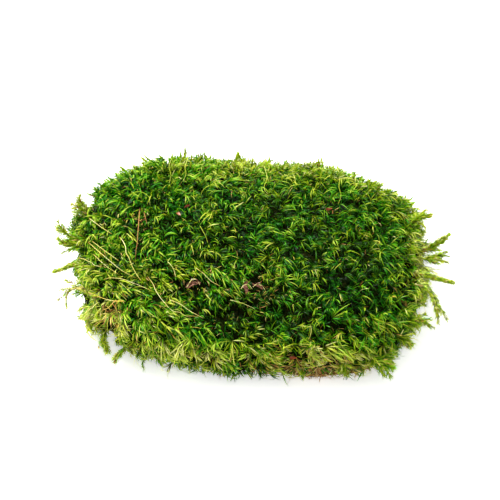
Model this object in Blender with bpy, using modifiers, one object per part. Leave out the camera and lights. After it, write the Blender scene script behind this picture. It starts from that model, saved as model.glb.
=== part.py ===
"""A clump of cushion moss, cut off flat where it grew, at its real size.

Run with: blender --background --python part.py
Metres, +Z up. X runs along the clump's length and its front faces -Y. The
origin is the middle of its outline, on the surface that the clump rests on.
"""

import bisect
import math
import random

import bmesh
import bpy
from mathutils import Euler, Matrix, Vector, noise
from mathutils.bvhtree import BVHTree
from mathutils.kdtree import KDTree

MM = 0.001
SEED = 11

# The mound of living moss, measured over the tips of its leaves
OUTLINE_MM = (
    (95, 2), (93, 26), (80, 38), (62, 49), (36, 60), (4, 63), (-32, 66),
    (-66, 63), (-88, 46), (-98, 20), (-99, -8), (-96, -34), (-83, -59), (-56, -73),
    (-22, -81), (10, -84), (44, -82), (71, -76), (85, -60), (93, -34),
)
HEART_MM = (0, -9)
CROWN_HEIGHT = 48 * MM
WIDEST_HEIGHT = 10 * MM
UNDERCUT_DEPTH = 18 * MM
SQUARENESS = 2.4
LUMP_HEIGHT = 3.0 * MM
LUMP_SPACING = 34 * MM
FINE_LUMP_SHARE = 0.4
FINE_LUMP_SPACING = 13 * MM
CREASE_MM = ((-66, -38), (-50, -46), (-34, -53), (-14, -60), (6, -65))
CREASE_DEPTH = 5 * MM
CREASE_WIDTH = 7 * MM

# The tufts, each the pointed head of one shoot
TUFT_ROWS = 11
TUFT_LENGTH = 5.5 * MM
SHORTEST_TUFT = 0.75
LONGEST_TUFT = 1.12
TUFT_CROWDING = 0.14
TUFT_JITTER = 0.026
OFF_AXIS_TURN = (0.3, 0.5, 0.2)
TUFT_LEAN = 0.36
TUFT_FLOOR = 3 * MM
SKIRT_GAP = 0.5 * MM
PARTING = 9 * MM
PARTED_ROOM = 1.9 * MM
FLATTEST_TUFT = 0.15 * MM
SAME_PLACE = 0.001 * MM

# The mat of dead stems and root hairs, which shows under the front's right half
MAT_THICKNESS = 9 * MM
MAT_SHARE = 0.80
MAT_BARE_SHARE = 0.13
MAT_BARE_ANGLE = math.radians(-58)
MAT_BARE_SPREAD = math.radians(28)
BARE_ENOUGH = 0.1
MAT_RAGGED = 1.4 * MM
MAT_RAGS = 9
MAT_SIDES = 72
MAT_BELLY = 0.35
MAT_BULGE = 2 * MM
POCKET_GAP = 0.5 * MM

# The view in the photograph, which places what lies on the mound
SIGHT_TILT = math.radians(45)
SIGHT_DISTANCE = 900 * MM
SIGHT_TARGET = Vector((-1, 0, 15)) * MM
SIGHT_STEPS = 80
SIGHT_CAUTION = 0.9
PIXEL = 0.535 * MM
MIDDLE_PIXEL = 250
LINE_STEPS = 8

# Each leafy shoot that stands out of the mound: thickness in millimetres, then
# its points from root to tip as pixels across and down the photograph
LEAFY_SHOOTS = {
    "left_1": (2.4, ((86, 240), (73, 237), (65, 232), (58, 222))),
    "left_2": (2.2, ((84, 247), (73, 245), (65, 243), (59, 239))),
    "left_3": (3.0, ((84, 264), (72, 265), (62, 269), (52, 272))),
    "left_4": (1.8, ((96, 296), (84, 291), (76, 288), (69, 291), (66, 299), (67, 309))),
    "left_5": (3.0, ((104, 308), (97, 314), (89, 318), (80, 317))),
    "left_6": (1.8, ((106, 330), (103, 340), (106, 350))),
    "left_7": (1.8, ((127, 346), (120, 353), (114, 357))),
    "left_8": (1.6, ((146, 350), (143, 361), (144, 371))),
    "left_9": (2.0, ((90, 216), (82, 208), (78, 199))),
    "right_1": (2.2, ((417, 252), (430, 248), (439, 244), (448, 235))),
    "right_2": (2.0, ((418, 259), (432, 257), (446, 252))),
    "right_3": (3.0, ((416, 272), (432, 277), (443, 280), (455, 283))),
    "right_4": (2.2, ((415, 284), (429, 290), (436, 304), (438, 322))),
    "right_5": (1.8, ((408, 321), (420, 320), (430, 319))),
    "right_6": (2.0, ((397, 336), (404, 340), (410, 345))),
    "right_7": (2.2, ((408, 226), (418, 218), (425, 211))),
    "front_1": (2.2, ((368, 353), (380, 362), (393, 367))),
    "front_2": (1.8, ((346, 358), (344, 367), (345, 376))),
    "front_3": (1.6, ((303, 366), (302, 373), (303, 379))),
}
SHOOT_STEP = 1.5 * MM
SHOOT_ROOT_HEIGHT = 1.4 * MM
SHOOT_CLEARANCE = 0.5 * MM
WHORL_WAIST = 0.62
SHOOT_TIP = 0.22
SHOOT_NECK = 0.45

# Each straw stalk that lies on the mound: its height over the stems and its
# thickness in millimetres, then its points as pixels across and down
STRAW_STALKS = {
    "1": (3.4, 1.1, ((89, 218), (101, 227), (112, 234))),
    "2": (3.4, 0.9, ((88, 242), (97, 250), (110, 261), (121, 270), (136, 278))),
    "3": (4.6, 0.8, ((92, 241), (105, 251), (119, 261))),
    "4": (3.4, 0.8, ((93, 254), (106, 266), (118, 274))),
    "5": (4.6, 1.0, ((119, 237), (124, 243), (129, 258), (134, 270), (141, 281))),
    "6": (3.6, 0.9, ((147, 276), (153, 284), (156, 291), (163, 301), (175, 312), (199, 317))),
    "7": (4.6, 0.9, ((79, 258), (86, 260), (94, 265), (103, 267))),
    "8": (4.6, 0.8, ((103, 280), (110, 278), (122, 279), (133, 283), (143, 287), (152, 291))),
}
PINE_NEEDLES = {
    "long": (3.6, 1.0, ((140, 208), (138, 231), (137, 245), (135, 261))),
    "short": (3.6, 0.9, ((144, 212), (147, 224))),
    "broken": (3.6, 0.9, ((273, 344), (281, 350))),
}
STALK_STEP = 3.2 * MM
STALK_TAPER = 0.55

# Scraps on the mound: pixels across and down, then length, width, and turn
DEAD_LEAVES = {
    "1": ((193, 284), 8.0, 5.0, 35),
    "2": ((246, 287), 7.0, 3.5, 80),
    "3": ((258, 286), 6.0, 3.5, -40),
}
DEAD_LEAF_HEIGHT = 4.4 * MM
DEAD_LEAF_THICKNESS = 0.6 * MM
DEAD_LEAF_CURL = math.radians(150)
DEAD_LEAF_END_WIDTH = 0.55
DEAD_LEAF_WAVE = 0.06
BUD_SCALES = {
    "1": ((187, 206), 3.4, 2.0, 20),
    "2": ((179, 214), 3.2, 1.8, 75),
    "3": ((329, 209), 3.4, 1.9, -60),
    "4": ((293, 358), 3.8, 2.2, 10),
}
BUD_HEIGHT = 4.4 * MM
BUD_POINT_WIDTH = 0.5
BUD_FLATNESS = 0.7

MATERIALS = {
    "living_moss": ((0.062, 0.130, 0.009), 0.62),
    "dead_stems": ((0.205, 0.115, 0.042), 0.85),
    "dry_straw": ((0.560, 0.400, 0.130), 0.55),
    "brown_needle": ((0.130, 0.055, 0.022), 0.50),
    "dead_leaf": ((0.420, 0.260, 0.160), 0.70),
}


def spline_point(before, start, end, after, share):
    """The point at this share of the way from start to end on a Catmull-Rom curve."""
    square, cube = share**2, share**3
    return 0.5 * (
        2 * start
        + (end - before) * share
        + (2 * before - 5 * start + 4 * end - after) * square
        + (3 * start - before - 3 * end + after) * cube
    )


def smooth_line(points, steps, closed=False):
    """Points on a smooth curve through the given ones, steps to each stretch."""
    count = len(points)
    line = []
    for i in range(count if closed else count - 1):
        if closed:
            ends = [points[(i + k) % count] for k in (-1, 0, 1, 2)]
        else:
            ends = [points[min(max(i + k, 0), count - 1)] for k in (-1, 0, 1, 2)]
        line += [spline_point(*ends, step / steps) for step in range(steps)]
    return line if closed else line + [points[-1]]


def even_line(points, step):
    """The line through the points, at even steps about this long."""
    lengths = [(b - a).length for a, b in zip(points, points[1:])]
    count = max(2, round(sum(lengths) / step))
    pace = sum(lengths) / count
    line = [points[0]]
    passed = 0.0
    for start, end, length in zip(points, points[1:], lengths):
        while length and passed + length >= pace * len(line) and len(line) < count:
            line.append(start.lerp(end, (pace * len(line) - passed) / length))
        passed += length
    return line + [points[-1]]


HEART = Vector((*HEART_MM, 0)) * MM
OUTLINE = smooth_line([Vector((*p, 0)) * MM for p in OUTLINE_MM], 12, closed=True)
POLAR_OUTLINE = sorted(
    (math.atan2(p.y - HEART.y, p.x - HEART.x), (p - HEART).length) for p in OUTLINE
)
CREASE = smooth_line([Vector((*p, 0)) * MM for p in CREASE_MM], 6)


def outline_radius(angle):
    """How far the mound's outline is from its heart, seen from above, at this angle."""
    after = bisect.bisect(POLAR_OUTLINE, (angle, 0)) % len(POLAR_OUTLINE)
    (start, near), (end, far) = POLAR_OUTLINE[after - 1], POLAR_OUTLINE[after]
    turn = (end - start) % math.tau
    share = ((angle - start) % math.tau) / turn
    return near + (far - near) * share


def relief(point):
    """How far the mound's surface stands above or below its smooth form here."""
    lumps = noise.noise(point / LUMP_SPACING)
    lumps += FINE_LUMP_SHARE * noise.noise(point / FINE_LUMP_SPACING)
    away = min((Vector((point.x, point.y, 0)) - p).length for p in CREASE)
    return LUMP_HEIGHT * lumps - CREASE_DEPTH * math.exp(-((away / CREASE_WIDTH) ** 2))


def mound_point(direction, inset):
    """Where the mound's surface, taken in by inset, meets a direction from its heart."""
    side = outline_radius(math.atan2(direction.y, direction.x)) - inset
    rise = CROWN_HEIGHT - WIDEST_HEIGHT if direction.z > 0 else UNDERCUT_DEPTH
    rise -= inset
    flat = math.hypot(direction.x, direction.y)
    reach = (flat**SQUARENESS + abs(direction.z) ** SQUARENESS) ** (-1 / SQUARENESS)
    scale = Vector((side, side, rise)) * reach
    point = Vector(a * b for a, b in zip(direction, scale))
    slope = Vector((direction.x * rise, direction.y * rise, direction.z * side))
    place = HEART + Vector((0, 0, WIDEST_HEIGHT)) + point
    return place + slope.normalized() * relief(place)


def crowned(direction):
    """The direction moved towards the crown, so that the flat top has as many tufts."""
    polar = math.acos(max(-1.0, min(1.0, direction.z)))
    polar -= TUFT_CROWDING * math.sin(2 * polar)
    angle = math.atan2(direction.y, direction.x)
    flat = math.sin(polar)
    return Vector((flat * math.cos(angle), flat * math.sin(angle), math.cos(polar)))


def mound_cage(draw):
    """The mound under its tufts: an icosphere drawn onto it and cut off at the skirt."""
    cage = bmesh.new()
    bmesh.ops.create_icosphere(cage, subdivisions=1, radius=1)
    bmesh.ops.subdivide_edges(
        cage, edges=cage.edges[:], cuts=TUFT_ROWS - 1, use_grid_fill=True
    )
    turn = Euler(OFF_AXIS_TURN).to_matrix()
    for vert in cage.verts:
        shift = Vector(draw.uniform(-TUFT_JITTER, TUFT_JITTER) for _ in range(3))
        direction = (turn @ vert.co.normalized() + shift).normalized()
        vert.co = mound_point(crowned(direction), TUFT_LENGTH)
    cut = bmesh.ops.bisect_plane(
        cage,
        geom=cage.verts[:] + cage.edges[:] + cage.faces[:],
        plane_co=(0, 0, SKIRT_GAP),
        plane_no=(0, 0, 1),
        clear_inner=True,
    )
    rim = [item for item in cut["geom_cut"] if isinstance(item, bmesh.types.BMEdge)]
    bmesh.ops.contextual_create(cage, geom=rim)
    bmesh.ops.recalc_face_normals(cage, faces=cage.faces[:])
    return cage


def grow_tufts(cage, whole_faces, strays, draw):
    """Draws a point out of each whole face that is off the ground, clear of strays."""
    sides = []
    for face in cage.faces:
        middle = face.calc_center_median()
        if middle.z > TUFT_FLOOR and whole_faces.find(middle)[2] < SAME_PLACE:
            sides.append(face)
    for tip in bmesh.ops.poke(cage, faces=sides)["verts"]:
        outward = sum((face.normal for face in tip.link_faces), Vector()).normalized()
        downhill = Vector((0, 0, -1)) + outward * outward.z
        if outward.z < 0:
            downhill.zero()
        stray = Vector(draw.uniform(-1, 1) for _ in range(3))
        lean = TUFT_LEAN * (downhill + stray)
        height = TUFT_LENGTH * draw.uniform(SHORTEST_TUFT, LONGEST_TUFT)
        near, _, away = strays.find(tip.co)
        if away < PARTING:
            aside = tip.co - near
            aside -= outward * aside.dot(outward)
            lean = aside.normalized() * (1 - away / PARTING)
            height = min(height, max(FLATTEST_TUFT, away - PARTED_ROOM))
        tip.co += (outward + lean).normalized() * height
        tip.co.z = max(tip.co.z, 2 * SKIRT_GAP)


def mat_bareness(angle):
    """How far the root mat comes out from under the moss at this angle, from 0 to 1."""
    turn = (angle - MAT_BARE_ANGLE + math.pi) % math.tau - math.pi
    return math.exp(-((turn / MAT_BARE_SPREAD) ** 2))


def mat_outline(angle, grow):
    """How far the root mat reaches from the heart at this angle."""
    share = MAT_SHARE + MAT_BARE_SHARE * mat_bareness(angle)
    return outline_radius(angle) * share + grow


def root_mat(grow):
    """The mat, a ragged disc that bulges, grown by this much on its sides and top."""
    mat = bmesh.new()
    bmesh.ops.create_cone(
        mat, cap_ends=True, segments=MAT_SIDES, radius1=1, radius2=1, depth=1
    )
    bmesh.ops.translate(mat, verts=mat.verts, vec=(0, 0, 0.5))
    bmesh.ops.bisect_plane(
        mat,
        geom=mat.verts[:] + mat.edges[:] + mat.faces[:],
        plane_co=(0, 0, MAT_BELLY),
        plane_no=(0, 0, 1),
    )
    walls = [face for face in mat.faces if len(face.verts) == 4]
    bmesh.ops.triangulate(mat, faces=walls, quad_method="FIXED")
    for vert in mat.verts:
        level = vert.co.z
        angle = math.atan2(vert.co.y, vert.co.x)
        spot = Vector((math.cos(angle), math.sin(angle), level / 3))
        ragged = MAT_RAGGED * noise.noise(spot * MAT_RAGS)
        bulge = MAT_BULGE * abs(level - MAT_BELLY)
        reach = mat_outline(angle, grow) - bulge + ragged
        vert.co = HEART + Vector((spot.x, spot.y, 0)) * reach
        vert.co.z = (MAT_THICKNESS + grow) * level - grow * (1 - level)
    return mat


def sight_line(pixel):
    """The eye, and the direction from it through this pixel of the photograph."""
    back = Vector((0, -math.cos(SIGHT_TILT), math.sin(SIGHT_TILT)))
    eye = SIGHT_TARGET + back * SIGHT_DISTANCE
    up = Vector((0, math.sin(SIGHT_TILT), math.cos(SIGHT_TILT)))
    across, down = ((value - MIDDLE_PIXEL) * PIXEL for value in pixel)
    seen = SIGHT_TARGET + Vector((across, 0, 0)) - up * down
    return eye, (seen - eye).normalized()


def sighted_on(mound, pixel, height):
    """The point at this height over the mound that the photograph shows at the pixel."""
    eye, way = sight_line(pixel)
    travelled = SIGHT_DISTANCE / 2
    seen, least = eye, math.inf
    for _ in range(SIGHT_STEPS):
        point = eye + way * travelled
        over = mound.find_nearest(point)[3] - height
        if abs(over) < least:
            seen, least = point, abs(over)
        travelled += over * SIGHT_CAUTION
    return seen


def sighted_beside(root, pixel):
    """Where the photograph shows the pixel, as far from the eye as the root is."""
    eye, way = sight_line(pixel)
    facing = (SIGHT_TARGET - eye).normalized()
    return eye + way * ((root - eye).dot(facing) / way.dot(facing))


def lifted(mound, point, height):
    """The point, moved off the mound and the ground until it is at least this high."""
    near, outward, _, away = mound.find_nearest(point)
    if (point - near).dot(outward) < 0 or away < height:
        point = near + outward * height
    return Vector((point.x, point.y, max(point.z, height)))


def shoot_line(mound, thickness, pixels):
    """A leafy shoot's points and its radius at each, swelling at every whorl."""
    root = sighted_on(mound, pixels[0], SHOOT_ROOT_HEIGHT)
    seen = [root] + [sighted_beside(root, pixel) for pixel in pixels[1:]]
    line = even_line(smooth_line(seen, LINE_STEPS), SHOOT_STEP)
    last = len(line) - 1
    radii = []
    for i in range(last + 1):
        share = i / last
        taper = 1 - (1 - SHOOT_TIP) * share**2
        whorl = WHORL_WAIST if i % 2 else 1
        radii.append(0.5 * thickness * MM * taper * whorl)
    radii[0] = 0.5 * thickness * MM * SHOOT_NECK
    line = [lifted(mound, p, r + SHOOT_CLEARANCE) for p, r in zip(line, radii)]
    return line, radii


def stalk_line(mound, height, thickness, pixels):
    """A stalk's points and its radius at each, where it lies on the mound."""
    seen = [sighted_on(mound, pixel, height * MM) for pixel in pixels]
    line = even_line(smooth_line(seen, LINE_STEPS), STALK_STEP)
    last = len(line) - 1
    radii = [
        0.5 * thickness * MM * (1 - (1 - STALK_TAPER) * i / last) for i in range(last + 1)
    ]
    return [lifted(mound, point, height * MM) for point in line], radii


def resting_frame(mound, pixel, height, turn):
    """Where a scrap lies on the mound, with its length turned this many degrees."""
    place = sighted_on(mound, pixel, height)
    outward = mound.find_nearest(place)[1]
    lie = outward.to_track_quat("Z", "Y").to_matrix().to_4x4()
    return Matrix.Translation(place) @ lie @ Matrix.Rotation(math.radians(turn), 4, "Z")


class Clump:
    """The clump's objects, each under one empty and with its material."""

    def __init__(self):
        for old in list(bpy.data.objects):
            bpy.data.objects.remove(old)
        self.parts = bpy.data.collections.new("moss_clump_parts")
        self.cutters = bpy.data.collections.new("moss_clump_cutters")
        for collection in (self.parts, self.cutters):
            bpy.context.scene.collection.children.link(collection)
        self.root = bpy.data.objects.new("moss_clump", None)
        self.parts.objects.link(self.root)
        self.materials = {name: make_material(name) for name in MATERIALS}

    def add(self, name, data, material):
        """One piece of the clump, made of this mesh or curve."""
        data.materials.append(self.materials[material])
        piece = bpy.data.objects.new(name, data)
        piece.parent = self.root
        self.parts.objects.link(piece)
        return piece

    def add_strand(self, name, line, radii, sides, material):
        """A tube through the points of the line, with a radius at each."""
        curve = bpy.data.curves.new(name, "CURVE")
        curve.dimensions = "3D"
        curve.bevel_depth = 1
        curve.bevel_resolution = (sides - 4) // 2
        curve.use_fill_caps = True
        spline = curve.splines.new("POLY")
        spline.points.add(len(line) - 1)
        for knot, point, radius in zip(spline.points, line, radii):
            knot.co = (*point, 1)
            knot.radius = radius
        return self.add(name, curve, material)

    def add_cutter(self, name, shape):
        """A shape that is only cut out of others."""
        cutter = bpy.data.objects.new(name, mesh_of(name, shape))
        cutter.display_type = "WIRE"
        cutter.hide_render = True
        self.cutters.objects.link(cutter)
        return cutter

    def centre(self):
        """Moves the clump so that the origin is the middle of its base."""
        bpy.context.view_layer.update()
        corners = [
            piece.matrix_world @ Vector(corner)
            for piece in self.root.children
            for corner in piece.bound_box
        ]
        low = Vector(min(corner[k] for corner in corners) for k in range(3))
        high = Vector(max(corner[k] for corner in corners) for k in range(3))
        self.root.location = -Vector(((low.x + high.x) / 2, (low.y + high.y) / 2, low.z))


def make_material(name):
    """A plain material in the colour and the roughness that the table gives."""
    color, roughness = MATERIALS[name]
    material = bpy.data.materials.new(name)
    material.use_nodes = True
    shader = material.node_tree.nodes["Principled BSDF"]
    shader.inputs["Base Color"].default_value = (*color, 1)
    shader.inputs["Roughness"].default_value = roughness
    material.diffuse_color = (*color, 1)
    return material


def mesh_of(name, shape):
    """A mesh datablock that takes over this bmesh."""
    mesh = bpy.data.meshes.new(name)
    shape.to_mesh(mesh)
    shape.free()
    return mesh


def keep_largest_island(shape):
    """Removes the crumbs that a cut left loose."""
    left = set(shape.verts)
    islands = []
    while left:
        island = set()
        reached = [left.pop()]
        while reached:
            vert = reached.pop()
            island.add(vert)
            around = {edge.other_vert(vert) for edge in vert.link_edges} & left
            left -= around
            reached += around
        islands.append(island)
    islands.sort(key=len)
    crumbs = [vert for island in islands[:-1] for vert in island]
    bmesh.ops.delete(shape, geom=crumbs, context="VERTS")


def add_cushion(clump, cage, strays, draw):
    """The living moss, with a pocket underneath that the root mat fills."""
    whole_faces = tree_of([face.calc_center_median() for face in cage.faces])
    cushion = clump.add("moss_cushion", mesh_of("moss_cushion", cage), "living_moss")
    cut = cushion.modifiers.new("mat_pocket", "BOOLEAN")
    cut.operation = "DIFFERENCE"
    cut.solver = "EXACT"
    cut.object = clump.add_cutter("mat_pocket", root_mat(POCKET_GAP))
    shape = bmesh.new()
    shape.from_object(cushion, bpy.context.evaluated_depsgraph_get())
    cushion.modifiers.remove(cut)
    keep_largest_island(shape)
    grow_tufts(shape, whole_faces, strays, draw)
    shape.to_mesh(cushion.data)
    shape.free()


def add_dead_leaf(clump, mound, name, scrap):
    """A thin leaf that has curled up lengthways as it dried."""
    pixel, length, width, turn = scrap
    leaf = bmesh.new()
    bmesh.ops.create_grid(leaf, x_segments=3, y_segments=5, size=0.5)
    for vert in leaf.verts:
        bend = vert.co.y * DEAD_LEAF_CURL
        narrow = 1 - (1 - DEAD_LEAF_END_WIDTH) * (2 * vert.co.x) ** 2
        radius = width * MM / DEAD_LEAF_CURL * narrow
        wave = DEAD_LEAF_WAVE * length * MM * math.sin(math.tau * vert.co.x)
        vert.co.x *= length * MM
        vert.co.y = radius * math.sin(bend) + wave
        vert.co.z = radius * (1 - math.cos(bend))
    piece = clump.add(f"dead_leaf_{name}", mesh_of(name, leaf), "dead_leaf")
    piece.matrix_local = resting_frame(mound, pixel, DEAD_LEAF_HEIGHT, turn)
    skin = piece.modifiers.new("thickness", "SOLIDIFY")
    skin.thickness = DEAD_LEAF_THICKNESS
    skin.offset = 1


def add_bud_scale(clump, mound, name, scrap):
    """A small pointed bud scale that fell on the moss."""
    pixel, length, width, turn = scrap
    bud = bmesh.new()
    bmesh.ops.create_icosphere(bud, subdivisions=1, radius=0.5)
    for vert in bud.verts:
        pointed = 1 - 2 * (1 - BUD_POINT_WIDTH) * max(vert.co.x, 0)
        vert.co.x *= length * MM
        vert.co.y *= width * MM * pointed
        vert.co.z *= width * MM * pointed * BUD_FLATNESS
    piece = clump.add(f"bud_scale_{name}", mesh_of(name, bud), "brown_needle")
    piece.matrix_local = resting_frame(mound, pixel, BUD_HEIGHT, turn)


def tree_of(points):
    """The points, ready to be searched for the nearest one."""
    tree = KDTree(len(points))
    for i, point in enumerate(points):
        tree.insert(point, i)
    tree.balance()
    return tree


def stray_points(lines, mound):
    """Every point that a tuft keeps clear of."""
    points = [point for line in lines for point in even_line(line, 1 * MM)]
    for pixel, length, _, turn in DEAD_LEAVES.values():
        lie = resting_frame(mound, pixel, DEAD_LEAF_HEIGHT, turn)
        points += [lie @ Vector((k * length * MM / 4, 0, 0)) for k in (-2, -1, 0, 1, 2)]
    for pixel, length, _, turn in BUD_SCALES.values():
        lie = resting_frame(mound, pixel, BUD_HEIGHT, turn)
        points += [lie @ Vector((k * length * MM / 2, 0, 0)) for k in (-1, 0, 1)]
    for degree in range(-180, 180):
        angle = math.radians(degree)
        if mat_bareness(angle) > BARE_ENOUGH:
            way = Vector((math.cos(angle), math.sin(angle), 0))
            rim = HEART + way * mat_outline(angle, 0)
            points += [rim + Vector((0, 0, MAT_THICKNESS * k)) for k in (0.2, 0.6, 1)]
    return points


def main():
    draw = random.Random(SEED)
    cage = mound_cage(draw)
    mound = BVHTree.FromBMesh(cage)
    shoots = {name: shoot_line(mound, *seen) for name, seen in LEAFY_SHOOTS.items()}
    stalks = {name: stalk_line(mound, *seen) for name, seen in STRAW_STALKS.items()}
    needles = {name: stalk_line(mound, *seen) for name, seen in PINE_NEEDLES.items()}
    lines = [line for group in (shoots, stalks, needles) for line, _ in group.values()]
    strays = tree_of(stray_points(lines, mound))

    clump = Clump()
    add_cushion(clump, cage, strays, draw)
    clump.add("brown_root_mat", mesh_of("root_mat", root_mat(0)), "dead_stems")
    for name, (line, radii) in shoots.items():
        clump.add_strand(f"leafy_shoot_{name}", line, radii, 6, "living_moss")
    for name, (line, radii) in stalks.items():
        clump.add_strand(f"straw_stalk_{name}", line, radii, 4, "dry_straw")
    for name, (line, radii) in needles.items():
        clump.add_strand(f"pine_needle_{name}", line, radii, 4, "brown_needle")
    for name, scrap in DEAD_LEAVES.items():
        add_dead_leaf(clump, mound, name, scrap)
    for name, scrap in BUD_SCALES.items():
        add_bud_scale(clump, mound, name, scrap)
    clump.centre()


if __name__ == "__main__":
    main()
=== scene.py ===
"""Grows the leaves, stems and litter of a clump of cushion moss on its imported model.

It is laid out as an add-on and run as a script. Everything is in metres, +Z up,
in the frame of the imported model. X runs along the clump and its front faces -Y.
"""

import math

import bmesh
import bpy
import numpy as np
from mathutils import Matrix, Vector, noise
from mathutils.bvhtree import BVHTree
from mathutils.kdtree import KDTree


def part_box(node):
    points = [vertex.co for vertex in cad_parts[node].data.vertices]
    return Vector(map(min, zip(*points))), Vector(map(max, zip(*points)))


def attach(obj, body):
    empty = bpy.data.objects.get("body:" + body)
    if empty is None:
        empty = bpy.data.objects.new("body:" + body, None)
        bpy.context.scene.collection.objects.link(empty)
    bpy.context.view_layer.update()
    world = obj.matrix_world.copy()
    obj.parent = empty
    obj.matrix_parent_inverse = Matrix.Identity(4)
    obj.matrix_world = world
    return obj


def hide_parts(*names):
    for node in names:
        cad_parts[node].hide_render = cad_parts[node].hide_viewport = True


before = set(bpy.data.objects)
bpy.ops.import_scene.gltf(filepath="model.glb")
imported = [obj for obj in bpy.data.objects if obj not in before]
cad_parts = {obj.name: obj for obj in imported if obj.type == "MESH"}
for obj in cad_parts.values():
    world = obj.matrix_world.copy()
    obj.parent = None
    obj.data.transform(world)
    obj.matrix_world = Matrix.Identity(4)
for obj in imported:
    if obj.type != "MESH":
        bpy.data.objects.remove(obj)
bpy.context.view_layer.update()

bl_info = {
    "name": "Moss clump",
    "version": (1, 0, 0),
    "blender": (4, 5, 0),
    "location": "3D View > Sidebar > Moss clump",
    "description": "Grows the leaves, stems and litter of a clump of cushion moss",
    "category": "Add Mesh",
}

MM = 0.001
SEED = 23
UP = np.array((0.0, 0.0, 1.0))

# The view in the photograph, which places what lies on the moss
SIGHT_TILT = math.radians(45)
SIGHT_DISTANCE = 900 * MM
SIGHT_TARGET = Vector((-1.4, 8.8, 15)) * MM
SIGHT_STEPS = 80
SIGHT_CAUTION = 0.9
PIXEL = 0.535 * MM
MIDDLE_PIXEL = 250
PICTURE_PIXELS = 500
SENSOR_WIDTH = 36
LINE_STEPS = 8

# The waxy skin of leaves bends light about as much as water and wax do
CUTIN_IOR = 1.42

# Each leafy shoot that stands out of the mound: thickness in millimetres, how
# golden, how bushy, how far its leaves spread in degrees, how many side branches,
# how much of its thickness is bare stem, then its points from root to tip as
# pixels across and down the photograph
LEAFY_SHOOTS = {
    "left_1": (2.4, 0.14, 1.1, 40, 4, 0.12, ((86, 240), (73, 237), (65, 232), (58, 222))),
    "left_2": (2.2, 0.16, 1.1, 40, 4, 0.12, ((84, 247), (73, 245), (65, 243), (59, 239))),
    "left_3": (3.0, 0.20, 4.0, 30, 0, 0.40, ((84, 264), (72, 265), (62, 269), (52, 272))),
    "left_4": (
        1.8, 0.29, 0.9, 46, 4, 0.44,
        ((96, 296), (84, 291), (76, 288), (69, 291), (66, 299), (67, 309)),
    ),
    "left_5": (3.0, 0.30, 0.9, 30, 3, 0.20, ((104, 308), (97, 314), (89, 318), (80, 317))),
    "left_6": (1.8, 0.16, 1.2, 42, 4, 0.12, ((106, 330), (103, 340), (106, 350))),
    "left_7": (1.8, 0.12, 1.2, 42, 3, 0.12, ((127, 346), (120, 353), (114, 357))),
    "left_8": (1.6, -0.10, 0.7, 30, 0, 0.12, ((146, 350), (143, 361), (144, 371))),
    "left_9": (2.0, 0.24, 1.4, 50, 5, 0.12, ((90, 216), (82, 208), (78, 199))),
    "right_1": (2.2, 0.18, 1.3, 42, 5, 0.13, ((417, 252), (430, 248), (439, 244), (448, 235))),
    "right_2": (2.0, 0.18, 1.3, 42, 5, 0.13, ((418, 259), (432, 257), (446, 252))),
    "right_3": (3.0, 0.20, 4.0, 30, 0, 0.40, ((416, 272), (432, 277), (443, 280), (455, 283))),
    "right_4": (2.2, 0.26, 1.1, 40, 5, 0.20, ((415, 284), (429, 290), (436, 304), (438, 322))),
    "right_5": (1.8, 0.18, 1.1, 42, 4, 0.14, ((408, 321), (420, 320), (430, 319))),
    "right_6": (2.0, 0.12, 1.2, 42, 4, 0.12, ((397, 336), (404, 340), (410, 345))),
    "right_7": (2.2, 0.16, 1.3, 42, 5, 0.12, ((408, 226), (418, 218), (425, 211))),
    "front_1": (2.2, 0.04, 1.3, 46, 5, 0.12, ((368, 353), (380, 362), (393, 367))),
    "front_2": (1.8, 0.12, 1.2, 46, 4, 0.12, ((346, 358), (344, 367), (345, 376))),
    "front_3": (1.6, 0.12, 1.0, 40, 1, 0.12, ((303, 366), (302, 373), (303, 379))),
}
SHOOT_STEP = 1.5 * MM
SHOOT_ROOT_HEIGHT = 1.4 * MM
SHOOT_CLEARANCE = 0.5 * MM

# Each straw stalk that lies on the mound: its height over the stems and its
# thickness in millimetres, then its points as pixels across and down
STRAW_STALKS = {
    "1": (3.4, 1.1, ((89, 218), (101, 227), (112, 234))),
    "2": (3.4, 0.9, ((88, 242), (97, 250), (110, 261), (121, 270), (136, 278))),
    "3": (4.6, 0.8, ((92, 241), (105, 251), (119, 261))),
    "4": (3.4, 0.8, ((93, 254), (106, 266), (118, 274))),
    "5": (4.6, 1.0, ((119, 237), (124, 243), (129, 258), (134, 270), (141, 281))),
    "6": (
        3.6, 0.9,
        ((147, 276), (153, 284), (156, 291), (163, 301), (175, 312), (199, 317)),
    ),
    "7": (4.6, 0.9, ((79, 258), (86, 260), (94, 265), (103, 267))),
    "8": (
        4.6, 0.8,
        ((103, 280), (110, 278), (122, 279), (133, 283), (143, 287), (152, 291)),
    ),
}
PINE_NEEDLES = {
    "long": (3.6, 1.0, ((140, 208), (138, 231), (137, 245), (135, 261))),
    "short": (3.6, 0.9, ((144, 212), (147, 224))),
    "broken": (3.6, 0.9, ((273, 344), (281, 350))),
}
STALK_STEP = 3.2 * MM
STALK_TAPER = 0.55

# Scraps on the mound: pixels across and down, then length, width, and turn
DEAD_LEAVES = {
    "1": ((193, 284), 8.0, 5.0, 35),
    "2": ((246, 287), 7.0, 3.5, 80),
    "3": ((258, 286), 6.0, 3.5, -40),
}
DEAD_LEAF_HEIGHT = 4.4 * MM
BUD_SCALES = {
    "1": ((187, 206), 3.4, 2.0, 20, 0.35),
    "2": ((179, 214), 3.2, 1.8, 75, 0.74),
    "3": ((329, 209), 3.4, 1.9, -60, 0.58),
    "4": ((293, 358), 3.8, 2.2, 10, 0.40),
}
BUD_HEIGHT = 4.4 * MM

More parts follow.
